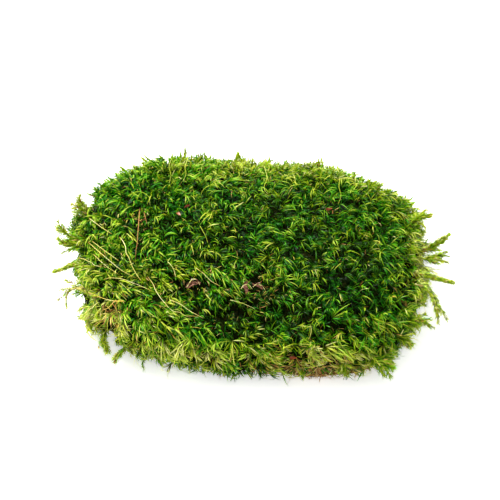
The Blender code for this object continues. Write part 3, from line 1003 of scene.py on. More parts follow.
class MatSettings(bpy.types.PropertyGroup):
    """The mat of root hairs and dead stems."""

    fibres: bpy.props.IntProperty(
        name="Fibres",
        description="How many fibres lie on the wall of the mat, and as many on its base",
        default=4200,
    )
    fibre_length: bpy.props.FloatProperty(
        name="Fibre length",
        description="Length of the longest fibres",
        default=8.5 * MM,
        unit="LENGTH",
    )
    fibre_width: bpy.props.FloatProperty(
        name="Fibre width",
        description="Width of the widest fibres",
        default=0.5 * MM,
        unit="LENGTH",
    )


class LitterSettings(bpy.types.PropertyGroup):
    """What lies on the moss."""

    stalk_girth: bpy.props.FloatProperty(
        name="Stalk girth",
        description="Thickness of a bare stalk as a share of the packed one's",
        default=0.29,
        subtype="FACTOR",
    )
    leaf_curl: bpy.props.FloatProperty(
        name="Leaf curl",
        description="How far a dead leaf has rolled up across its width",
        default=math.radians(150),
        unit="ROTATION",
    )
    leaf_thickness: bpy.props.FloatProperty(
        name="Leaf thickness",
        description="Thickness of a dead leaf",
        default=0.16 * MM,
        unit="LENGTH",
    )


class StageSettings(bpy.types.PropertyGroup):
    """The floor, the light and the camera."""

    key_power: bpy.props.FloatProperty(
        name="Key light",
        description="Power of the large soft light above and behind",
        default=34.0,
        unit="POWER",
    )
    table_glow: bpy.props.FloatProperty(
        name="Table glow",
        description="Light that the white table gives from within, as a light table",
        default=0.5,
    )
    sky: bpy.props.FloatProperty(
        name="Sky",
        description="Strength of the white light from all around",
        default=1.0,
    )


# The living moss


def scattered(corners, weights, count, draw):
    """Random places on triangles, in proportion to the weight of each."""
    picks = draw.choice(len(weights), count, p=weights / weights.sum())
    a, b = draw.random((2, count, 1))
    flip = a + b > 1
    a, b = np.where(flip, 1 - a, a), np.where(flip, 1 - b, b)
    tri = corners[picks]
    places = tri[:, 0] + a * (tri[:, 1] - tri[:, 0]) + b * (tri[:, 2] - tri[:, 0])
    return places, picks


def shoot_spots(settings, draw):
    """Where shoots stand: roots on the mound with normals, spaced apart."""
    shape = mound.shape
    shape.faces.ensure_lookup_table()
    corners = np.array([[tuple(v.co) for v in f.verts] for f in shape.faces])
    normals = np.array([tuple(f.normal) for f in shape.faces])
    areas = np.array([f.calc_area() for f in shape.faces])
    leafy = (corners[:, :, 2].mean(1) > 1.2 * MM) & (normals[:, 2] > -0.93)
    weights = np.where(leafy, areas, 0)
    count = int(weights.sum() / settings.shoot_spacing**2 * 6)
    places, _ = scattered(corners, weights, count, draw)
    cell = settings.shoot_spacing
    taken = {}
    kept = []
    for i, place in enumerate(places):
        key = tuple(int(math.floor(v / cell)) for v in place)
        near = False
        for dx in (-1, 0, 1):
            for dy in (-1, 0, 1):
                for dz in (-1, 0, 1):
                    for other in taken.get((key[0] + dx, key[1] + dy, key[2] + dz), ()):
                        gap = places[other] - place
                        if gap @ gap < cell * cell:
                            near = True
                            break
        if not near:
            taken.setdefault(key, []).append(i)
            kept.append(i)
    places = places[kept]
    outward = smooth_normals(places)
    return places, outward


def smooth_normals(places):
    """The mound's normal at each place, blended over its neighbourhood."""
    shape = mound.shape
    shape.normal_update()
    tree = KDTree(len(shape.verts))
    for i, vert in enumerate(shape.verts):
        tree.insert(vert.co, i)
    tree.balance()
    shape.verts.ensure_lookup_table()
    result = np.empty((len(places), 3))
    for row, place in enumerate(places):
        blend = Vector()
        for _, index, away in tree.find_n(place, 6):
            blend += shape.verts[index].normal / (away + 1 * MM)
        result[row] = blend.normalized()
    return result


def tuft_shape(places, width):
    """How far up the swell of its tuft each place is, and the way from the middle."""
    swell = np.empty(len(places))
    fan = np.empty((len(places), 3))
    for i, place in enumerate(places):
        spot = Vector(place) / width
        gaps, middles = noise.voronoi(spot)
        swell[i] = min((gaps[1] - gaps[0]) / 0.45, 1)
        fan[i] = spot - middles[0]
    return swell, fan


def ripple(places, size, shift):
    """Smooth noise from -1 to 1 at each place, with waves of this size."""
    return np.array([noise.noise(Vector(p) / size + Vector(shift)) for p in places])


def seen_leaves(places, outward):
    """The pixels where each shoot's leaves show, and how far they face the view."""
    across, down, _ = seen_at(places + outward * LEAF_HEIGHT)
    facing = -(outward @ np.array(sight_frame()[1]))
    return across, down, smoothstep(-0.35, 0.1, facing)


def comb_directions(places, outward, draw):
    """The way the leaves fall over at each place, along the mound's surface."""
    count = len(places)
    low, high = (np.array(corner) for corner in CAD_SPAN)
    half = (high - low)[:2] / 2 * np.array((0.9, 1.0))
    rim = np.linalg.norm(places[:, :2] / half, axis=1)
    share = places[:, 0] / half[0]
    swirl = ripple(places, 21 * MM, (0, 0, 0)) + 0.9 * ripple(places, 7 * MM, (5, 3, 1))
    ruffle = 34 + 26 * smoothstep(-0.3, 0.3, share)
    angle = np.radians(-66 + 10 * share + 80 * swirl + ruffle * draw.normal(0, 1, count))
    fall = np.stack((np.cos(angle), np.sin(angle), np.zeros(count)), 1)
    across, down, front = seen_leaves(places, outward)
    for (x, y), (wide, high), degrees, strict in COMB_PATCHES:
        near = np.exp(-(((across - x) / wide) ** 2) - ((down - y) / high) ** 2)
        near = (near * strict * front)[:, None]
        turn = np.radians(degrees + draw.normal(0, 16, count))
        local = np.stack((np.cos(turn), np.sin(turn), np.zeros(count)), 1)
        fall = fall * (1 - near) + local * near
    away = unit(places * (1, 1, 0))
    share = smoothstep(0.82, 1.05, rim)[:, None] * 0.40
    fall = fall * (1 - share) + away * share
    fall = fall - outward * dot(fall, outward)
    return unit(fall), rim


def tone_at(places, outward, rim):
    """The tone at each place, with its painted light and shade, and the share of dead leaves there."""
    across, down, front = seen_leaves(places, outward)
    tone = np.full(len(places), BASE_TONE)
    dead = np.full(len(places), 0.015)
    for (x, y), (wide, high), shift, withered in TONE_PATCHES:
        near = np.exp(-(((across - x) / wide) ** 2) - ((down - y) / high) ** 2)
        tone += near * shift * front
        dead += near * withered * front
    # Painted light on the rim, over the lime of its young shoots: the edge is brighter as if lit through
    # from behind
    tone += 0.10 * smoothstep(0.84, 1.0, rim)
    tone += 0.10 * ripple(places, 16 * MM, (9, 2, 4)) + 0.09 * ripple(places, 5 * MM, (1, 7, 3))
    low = smoothstep(12 * MM, 1 * MM, places[:, 2])
    dead += 0.06 * low
    return tone + 0.02 * low, np.clip(dead, 0, 0.9)


def fresh_patches(places, outward):
    """How much likelier fresh green shoots are at each place."""
    across, down, front = seen_leaves(places, outward)
    likelier = np.zeros(len(places))
    for (x, y), (wide, high), shift in FRESH_PATCHES:
        near = np.exp(-(((across - x) / wide) ** 2) - ((down - y) / high) ** 2)
        likelier += near * shift * front
    return likelier


def litter_room(places):
    """How near each place is to anything that lies on the moss, as a share from 0 to 1."""
    points = []
    for name, line in LINES.items():
        if not name.startswith("leafy"):
            points += even_line(line, 1 * MM)
    for table in (DEAD_LEAVES, BUD_SCALES):
        for pixel, length, _, turn, *_ in table.values():
            lie = resting_frame(mound.tree, pixel, BUD_HEIGHT, turn)
            points += [lie @ Vector((k * length * MM / 4, 0, 0)) for k in (-2, -1, 0, 1, 2)]
    tree = KDTree(len(points))
    for i, point in enumerate(points):
        tree.insert(point, i)
    tree.balance()
    away = np.array([tree.find(place)[2] for place in places])
    return smoothstep(5.5 * MM, 3.0 * MM, away)


SIGHT_MAP_SCALE = 3
STRAND_WEAVE = 0.22


def litter_map():
    """How far ahead of the eye each stray lies, on a fine grid of the view."""
    size = PICTURE_PIXELS * SIGHT_MAP_SCALE
    depths = np.full((size, size), -np.inf)
    for name, line in LINES.items():
        if name.startswith("leafy"):
            continue
        thin = np.array([tuple(p) for p in even_line(line, 0.15 * MM)])
        stamp(depths, thin, 1.0)
    for _, _, pixels in DRY_STRANDS:
        line = smooth_line([sighted_on(mound.tree, p, STRAND_HEIGHT) for p in pixels], 5)
        thin = np.array([tuple(p) for p in even_line(line, 0.15 * MM)])
        shown = np.sin(np.arange(len(thin)) * STRAND_WEAVE) > -0.3
        stamp(depths, thin[shown], 0.7)
    for table, reach in ((DEAD_LEAVES, 0.36), (BUD_SCALES, 0.5)):
        for pixel, length, width, turn, *_ in table.values():
            lie = resting_frame(mound.tree, pixel, BUD_HEIGHT, turn)
            grid = [
                lie @ Vector((a * length * MM * reach, b * width * MM * reach, 0))
                for a in np.linspace(-1, 1, 25)
                for b in np.linspace(-1, 1, 15)
            ]
            stamp(depths, np.array([tuple(p) for p in grid]), 1.0)
    return depths


def stamp(depths, points, reach):
    """Marks the grid round each point with how far ahead of the eye it is."""
    across, down, depth = seen_at(points)
    size = depths.shape[0]
    spread = int(round(reach * SIGHT_MAP_SCALE))
    for dx in range(-spread, spread + 1):
        for dy in range(-spread, spread + 1):
            if dx * dx + dy * dy > spread * spread:
                continue
            columns = np.clip((across * SIGHT_MAP_SCALE).astype(int) + dx, 0, size - 1)
            rows = np.clip((down * SIGHT_MAP_SCALE).astype(int) + dy, 0, size - 1)
            np.maximum.at(depths, (rows, columns), depth)


def in_the_way(depths, blades, draw):
    """Which blades would hide something that lies on the moss, or fill a hollow."""
    many = len(blades["tone"])
    hides = np.zeros(many, bool)
    for share in (0.2, 0.35, 0.5, 0.65, 0.8, 0.92, 1.0):
        across, down, depth = seen_at(arc(blades, share)[0])
        columns = np.clip((across * SIGHT_MAP_SCALE).astype(int), 0, depths.shape[1] - 1)
        rows = np.clip((down * SIGHT_MAP_SCALE).astype(int), 0, depths.shape[0] - 1)
        hides |= depth < depths[rows, columns] + 0.3 * MM
    hides &= draw.random(many) < 0.90
    low = blades["start"][:, 2] < 42 * MM
    luck = draw.random(many)
    for share in (0.5, 0.75, 1.0):
        across, down, _ = seen_at(arc(blades, share)[0])
        for (x, y), (wide, high), *_, missing in (*HOLLOWS, BARE_BAND):
            inside = ((across - x) / wide) ** 2 + ((down - y) / high) ** 2 < 1
            hides |= inside & low & (luck < missing)
    return hides


GOLDEN_ANGLE = math.radians(137.5)
LEAF_HEIGHT = 3.5 * MM
BASE_TONE = 0.265
FINER_RIGHT = 0.24


class GrowLivingMoss(bpy.types.Operator):
    """Grows the shoots of the cushion, leaf by leaf, on the stems below them, painted dark as shade"""

    bl_idname = "moss.grow_living"
    bl_label = "Living moss"

    def execute(self, context):
        settings = context.scene.moss_leaves
        draw = np.random.default_rng(SEED)
        # The stems under the leaves, painted near black as the shade deep in the cushion
        core = mound.mesh("moss_shaded_stems")
        core.materials.append(shaded_moss_stems())
        core.polygons.foreach_set("use_smooth", np.ones(len(core.polygons), bool))
        put("moss_shaded_stems", core, "moss_cushion")

        shoots = self.shoots(settings, draw)
        layers = (
            (self.foliage(settings, shoots, draw), SHORT_BLADE),
            (self.sickles(settings, shoots, draw), LONG_BLADE),
            (self.spears(settings, shoots, draw), LONG_BLADE),
        )
        hidden_by = litter_map()
        zones = self.zones(shoots["place"])
        material = moss_leaf_cuticle(context.scene.moss_colours)
        for zone, name in enumerate(ZONE_NAMES):
            skin = Skin()
            if name == "crown":
                self.strands(skin, draw)
            for blades, profile in layers:
                rows = (zones[blades["who"]] == zone) & ~in_the_way(hidden_by, blades, draw)
                grow_blades(skin, {k: v[rows] for k, v in blades.items()}, profile)
            piece = f"moss_leaves_{name}"
            put(piece, skin.mesh(piece, material))
        return {"FINISHED"}

    @staticmethod
    def shoots(settings, draw):
        """Where each shoot stands, which way it points and falls, and its tone."""
        place, outward = shoot_spots(settings, draw)
        comb, rim = comb_directions(place, outward, draw)
        tone, dead = tone_at(place, outward, rim)
        sunk, hollow = hollows(place, outward)
        count = len(place)
        crowd = litter_room(place)
        low = smoothstep(17 * MM, 2 * MM, place[:, 2])
        size = draw.uniform(0.76, 1.18, count) * (1 - 0.30 * crowd) * (1 - 0.30 * low)
        swell, fan = tuft_shape(place, settings.tuft_width)
        size = size * (0.78 + 0.32 * swell) * (1 - 0.45 * hollow)
        stray = (rim > 0.80) & (draw.random(count) < 0.22)
        size = np.where(stray, 1.4 * size, size)
        back = smoothstep(0.15, 0.6, outward[:, 1])
        size = size * (1 - 0.13 * back)
        # Painted light and shade: lighter on the swell of each tuft and on the far side, which is lit
        # from behind, darker in the crevices between tufts and in the hollows
        tone = tone + 0.10 * (swell - 0.6) - 0.08 * hollow + 0.04 * back
        slope = smoothstep(0.95, 0.3, outward[:, 2]) * smoothstep(4 * MM, 14 * MM, place[:, 2])
        axis = unit(
            outward
            + comb * (0.26 + 0.25 * low - 0.2 * back)[:, None]
            + UP * ((0.30 + 0.5 * back) * slope)[:, None]
            + 0.45 * fan
            + draw.normal(0, 0.32, (count, 3))
        )
        lush = smoothstep(-0.15, 0.35, ripple(place, 14 * MM, (3, 8, 6)))
        lush = np.clip(lush + fresh_patches(place, outward), 0, 1)
        steep = np.abs(axis[:, 2:]) > 0.9
        helper = unit(np.cross(axis, np.where(steep, (1.0, 0, 0), (0, 0, 1.0))))
        return dict(
            place=place - outward * sunk[:, None], outward=outward, comb=comb, axis=axis,
            helper=helper, other=np.cross(axis, helper), size=size, dead=dead, back=back,
            fresh=draw.random(count) < 0.12 + 0.75 * lush,
            fine=1 - FINER_RIGHT * smoothstep(-45 * MM, 5 * MM, place[:, 0]) * (rim < 0.85),
            tone=tone + draw.normal(0, settings.shoot_contrast, count),
        )

    @staticmethod
    def around(shoots, who, turn):
        """The direction away from each shoot's stem at this turn."""
        return (
            shoots["helper"][who] * np.cos(turn)[:, None]
            + shoots["other"][who] * np.sin(turn)[:, None]
        )

    def foliage(self, settings, shoots, draw):
        """The leaves all round each shoot, dark at its foot and bright at its head."""
        per = settings.leaves_per_shoot
        count = len(shoots["size"])
        who = np.repeat(np.arange(count), per)
        rank = np.tile(np.arange(per), count)
        many = len(who)
        height = (rank + draw.random(many)) / per
        turn = rank * GOLDEN_ANGLE + draw.uniform(0, math.tau, count)[who]
        radial = self.around(shoots, who, turn)
        axis, comb = shoots["axis"][who], shoots["comb"][who]
        size = shoots["size"][who]
        spread = np.radians(54 - 38 * height + draw.normal(0, 9, many))
        stem = 3.0 * MM * size * height
        sag = unit(comb - 0.35 * UP + 0.45 * radial + draw.normal(0, 0.4, (many, 3)))
        curl = settings.curl * draw.uniform(0.35, 1.35, many)
        tone = shoots["tone"][who] + draw.normal(0, settings.leaf_contrast, many)
        # Lower leaves on a shoot are darker: they are older, and the darkening also paints the shade
        # deep in the shoot
        tone = np.clip(tone + 0.28 * (height - 0.62), 0.01, 0.78)
        withered = draw.random(many) < shoots["dead"][who] * (1.3 - 0.6 * height)
        length = settings.leaf_length * size * (0.70 + 0.30 * height)
        return dict(
            who=who,
            start=shoots["place"][who] - shoots["outward"][who] * 0.6 * MM + axis * stem[:, None],
            way=axis * np.cos(spread)[:, None] + radial * np.sin(spread)[:, None],
            side=unit(np.cross(radial, axis) + draw.normal(0, 0.35, (many, 3))),
            bend=sag * curl[:, None],
            length=length * draw.uniform(0.8, 1.15, many),
            width=settings.leaf_width * shoots["fine"][who] * draw.uniform(0.7, 1.25, many),
            cup=draw.uniform(0.35, 0.8, many),
            tone=np.where(withered, draw.uniform(0.80, 0.95, many), tone),
            fresh=shoots["fresh"][who] & ~withered,
        )

    def sickles(self, settings, shoots, draw):
        """Long leaves at the heads of many shoots, all curved over to the same side."""
        count = len(shoots["size"])
        counts = draw.choice((0, 1, 2, 3, 4), count, p=(0.30, 0.18, 0.2, 0.18, 0.14))
        who = np.repeat(np.arange(count), counts)
        many = len(who)
        turn = draw.uniform(0, math.tau, many)
        radial = self.around(shoots, who, turn)
        axis, comb = shoots["axis"][who], shoots["comb"][who]
        size = shoots["size"][who]
        spread = np.radians(draw.uniform(2, 24, many))
        sag = unit(comb - 0.30 * UP + draw.normal(0, 0.22, (many, 3)))
        tone = shoots["tone"][who] + settings.sickle_glow + draw.normal(0, 0.09, many)
        stem = draw.uniform(1.0, 2.8, many) * MM * size
        return dict(
            who=who,
            start=shoots["place"][who] + axis * stem[:, None],
            way=unit(axis * np.cos(spread)[:, None] + radial * np.sin(spread)[:, None]),
            side=unit(np.cross(comb, axis) + draw.normal(0, 0.35, (many, 3))),
            bend=sag * (settings.curl * draw.uniform(0.9, 1.9, many))[:, None],
            length=settings.leaf_length * size * draw.uniform(1.0, 1.9, many),
            width=settings.leaf_width * shoots["fine"][who] * draw.uniform(0.75, 1.15, many),
            cup=draw.uniform(0.25, 0.75, many),
            tone=np.clip(tone, 0.1, 0.73) + 0.05 * draw.random(many) ** 3,
            fresh=shoots["fresh"][who],
        )

    def spears(self, settings, shoots, draw):
        """The closed, rolled tips of young shoots, bright and pointed."""
        count = len(shoots["size"])
        chance = settings.spear_share * (1 + 2.2 * shoots["back"])
        who = np.flatnonzero(draw.random(count) < chance)
        pairs = len(who)
        who = np.repeat(who, 2)
        flip = np.tile((1.0, -1.0), pairs)
        axis, comb = shoots["axis"][who], shoots["comb"][who]
        shake = np.repeat(draw.normal(0, 0.22, (pairs, 3)), 2, axis=0)
        size = shoots["size"][who]
        return dict(
            who=who,
            start=shoots["place"][who] + axis * (2.2 * MM * size)[:, None],
            way=unit(axis + 0.30 * comb + shake),
            side=np.cross(comb, axis) * flip[:, None],
            bend=np.repeat(draw.normal(0, 0.22, (pairs, 3)), 2, axis=0),
            length=settings.leaf_length * size * np.repeat(draw.uniform(0.6, 0.85, pairs), 2)
            * (1 + 0.35 * shoots["back"][who]),
            width=settings.leaf_width * np.full(2 * pairs, 2.0),
            cup=np.full(2 * pairs, 0.6),
            tone=np.repeat(draw.normal(0.63, 0.06, pairs), 2),
            fresh=shoots["fresh"][who],
        )

    @staticmethod
    def strands(skin, draw):
        """Adds the long dry leaves and stems that lie loose on the moss."""
        for thickness, tone, pixels in DRY_STRANDS:
            seen = [sighted_on(mound.tree, pixel, STRAND_HEIGHT) for pixel in pixels]
            line = smooth_line([lifted(mound.tree, p, 1.2 * MM) for p in seen], 5)
            share = np.linspace(0, 1, len(line))
            radius = 0.34 * thickness * MM * (1 - 0.6 * share)
            tones = on_moss_strip(tone - 0.02 + 0.02 * np.sin(share * 9))
            line = keep_inside(np.array([tuple(p) for p in line]))
            grow_tube(skin, line, radius, 6, 0.6 + 0.3 * share, tones)
        sprig = [sighted_on(mound.tree, pixel, STRAND_HEIGHT) for pixel in PALE_SPRIG]
        sprig = np.array([tuple(p) for p in smooth_line(sprig, 6)])
        clothe(skin, sprig, 0.9, (PALE_SPRIG_TONE, 1.3, 66, 0.14), draw)

    @staticmethod
    def zones(places):
        """Which zone of the cushion each shoot belongs to."""
        angle = np.arctan2(places[:, 1], places[:, 0]) % math.tau
        ring = (places[:, 0] / 0.1) ** 2 + (places[:, 1] / 0.075) ** 2
        sector = (angle / (math.tau / 4)).astype(int)
        return np.where(ring < 0.34, 4, sector)


def path_length(points):
    """The length of the line through these points."""
    return float(np.sum(np.linalg.norm(np.diff(points, axis=0), axis=1)))


def clothe(skin, spine, thickness, habit, draw):
    """Adds a stem along the spine, and leaves all round it from root to tip."""
    golden, bushy, spread, stem = habit
    share = np.linspace(0, 1, len(spine))
    radius = stem * thickness * MM * (1 - 0.45 * share)
    tone = on_moss_strip(np.clip(0.60 + golden * 0.8 - 0.04 * share, 0, 0.85))
    grow_tube(skin, keep_inside(spine), radius, 6, 0.5 + 0.3 * share, tone)
    reach = path_length(spine)
    count = max(12, int(reach / (0.16 * MM) * bushy))
    place = np.sort(draw.random(count))
    spot = place * (len(spine) - 1)
    low = np.minimum(spot.astype(int), len(spine) - 2)
    blend = (spot - low)[:, None]
    heading = unit(spine[low + 1] - spine[low])
    start = spine[low] * (1 - blend) + spine[low + 1] * blend
    helper = unit(np.cross(heading, (0.2, 0.1, 0.97)))
    other = np.cross(heading, helper)
    turn = np.arange(count) * GOLDEN_ANGLE + draw.normal(0, 0.3, count)
    radial = helper * np.cos(turn)[:, None] + other * np.sin(turn)[:, None]
    angle = np.radians(draw.normal(spread, 8, count) * (1 - 0.4 * place))
    way = heading * np.cos(angle)[:, None] + radial * np.sin(angle)[:, None]
    start = start + radial * (0.8 * stem * thickness * MM * (1 - 0.45 * place))[:, None]
    length = thickness * (0.42 + 0.033 * spread) * MM * (1 - 0.3 * place**2)
    length = length * (1.5 - 2.2 * stem)
    length = length * draw.uniform(0.7, 1.25, count)
    tone = 0.53 + golden * 0.5 + draw.normal(0, 0.10, count) + 0.08 * place
    tone = np.clip(tone, 0.1, 0.78)
    dry = draw.random(count) < 0.03 + max(golden, 0) * 0.2
    leaves = dict(
        start=start,
        way=way,
        side=np.cross(radial, heading),
        bend=unit(0.5 * radial + 0.5 * heading - 0.3 * UP + draw.normal(0, 0.5, (count, 3)))
        * draw.uniform(0.3, 1.0, (count, 1)),
        length=length,
        width=draw.uniform(0.42, 0.68, count) * MM,
        cup=draw.uniform(0.4, 0.9, count),
        tone=np.where(dry, draw.uniform(0.84, 0.92, count), tone),
        fresh=(draw.random(count) < 0.25) & ~dry,
    )
    grow_blades(skin, leaves)


ZONE_NAMES = ("back_right", "back_left", "front_left", "front_right", "crown")


class GrowRootMat(bpy.types.Operator):
    """Lays root hairs and dead stems over the mat that the cushion grew on"""

    bl_idname = "moss.grow_mat"
    bl_label = "Root mat"

    def execute(self, context):
        settings = context.scene.moss_mat
        draw = np.random.default_rng(SEED + 1)
        shape = bmesh.new()
        shape.from_mesh(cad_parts["brown_root_mat"].data)
        bmesh.ops.remove_doubles(shape, verts=shape.verts, dist=0.001 * MM)
        bmesh.ops.triangulate(shape, faces=shape.faces)
        bmesh.ops.recalc_face_normals(shape, faces=shape.faces)
        corners = np.array([[tuple(v.co) for v in f.verts] for f in shape.faces])
        normals = np.array([tuple(f.normal) for f in shape.faces])
        areas = np.array([f.calc_area() for f in shape.faces])
        bmesh.ops.subdivide_edges(shape, edges=shape.edges[:], cuts=2, use_grid_fill=True)
        shape.normal_update()
        for vert in shape.verts:
            sink = 0.45 * MM * (0.6 + noise.noise(vert.co / (3 * MM)))
            vert.co -= vert.normal * max(sink, 0.1 * MM)
            vert.co.z = max(vert.co.z, 0.25 * MM)
        mesh = bpy.data.meshes.new("root_mat_humus")
        shape.to_mesh(mesh)
        shape.free()
        mesh.polygons.foreach_set("use_smooth", np.ones(len(mesh.polygons), bool))
        mesh.materials.append(packed_humus())
        put("root_mat_humus", mesh, "brown_root_mat")

        felt = dead_root_felt(context.scene.moss_colours)
        skin = Skin()
        walls = np.where(np.abs(normals[:, 2]) < 0.7, areas, 0)
        base = np.where(normals[:, 2] < -0.7, areas, 0)
        count = settings.fibres
        longest, widest = settings.fibre_length, settings.fibre_width
        for weights, proud in ((walls, 1.0), (base, 0.0)):
            places, picks = scattered(corners, weights, count, draw)
            outward = normals[picks]
            along = np.cross(outward, np.where(proud, UP, (1.0, 0, 0)))
            swing = draw.uniform(0, math.tau, count)
            if proud:
                swing = draw.normal(0, 0.5, count) + math.pi * (draw.random(count) < 0.5)
            along = unit(along)
            over = np.cross(outward, along)
            way = along * np.cos(swing)[:, None] + over * np.sin(swing)[:, None]
            way = unit(way + outward * (0.22 * proud * draw.random(count))[:, None])
            lift = draw.uniform(0.0, 1.2, count) * proud * MM + 0.05 * MM
            start = places + outward * lift[:, None]
            length = draw.uniform(0.35, 1.0, count) * longest
            width = draw.uniform(0.44, 1.0, count) * widest
            bend = draw.normal(0, 1.0, (count, 3)) - outward * (0.25 * proud)
            if not proud:
                start[:, 2] = draw.uniform(0.06, 0.5, count) * MM
                bend[:, 2] = 0
                way[:, 2] = 0
            tone = np.clip(draw.normal(0.76, 0.17, count), 0.05, 0.98)
            side = np.cross(way, outward)
            cup = draw.uniform(0.3, 1.0, count)
            fibres = dict(
                start=start, way=way, side=side, bend=bend,
                length=length, width=width, cup=cup, tone=tone,
            )
            grow_blades(skin, fibres)
        put("root_mat_fibres", skin.mesh("root_mat_fibres", felt))
        return {"FINISHED"}


class GrowEdgeShoots(bpy.types.Operator):
    """Grows the single leafy shoots that stand out of the cushion's edge"""

    bl_idname = "moss.grow_edge_shoots"
    bl_label = "Edge shoots"

    def execute(self, context):
        material = bpy.data.materials["moss_leaf_cuticle"]
        for number, (name, row) in enumerate(LEAFY_SHOOTS.items()):
            thickness, golden, bushy, spread, branches, stem, _ = row
            draw = np.random.default_rng(SEED + 10 + number)
            node = f"leafy_shoot_{name}"
            spine = np.array([tuple(p) for p in smooth_line(LINES[node], 3)])
            skin = Skin()
            clothe(skin, spine, thickness, (golden, bushy, spread, stem), draw)
            reach = path_length(spine)
            for k in range(branches):
                root = int(len(spine) * (0.12 + 0.55 * (k + draw.random()) / branches))
                heading = unit(spine[min(root + 1, len(spine) - 1)] - spine[root])
                aside = draw.normal(0, 1, 3) * (1, 0.8, 0.8)
                aside = unit(aside - heading * float(aside @ heading))
                way = unit(heading + (0.55 + 0.35 * draw.random()) * aside)
                steps = np.linspace(0, 1, 9)[:, None]
                length = min(reach * draw.uniform(0.3, 0.55), 7 * MM)
                curve = heading * 0.35 - 0.25 * UP
                twig = spine[root] + length * (way * steps + curve * steps**2)
                twig[:, 2] = np.maximum(twig[:, 2], 0.8 * MM)
                clothe(skin, twig, 0.8 * thickness, (golden, bushy, spread, 0.12), draw)
            piece = f"edge_shoot_{name}"
            put(piece, skin.mesh(piece, material), node)
        return {"FINISHED"}


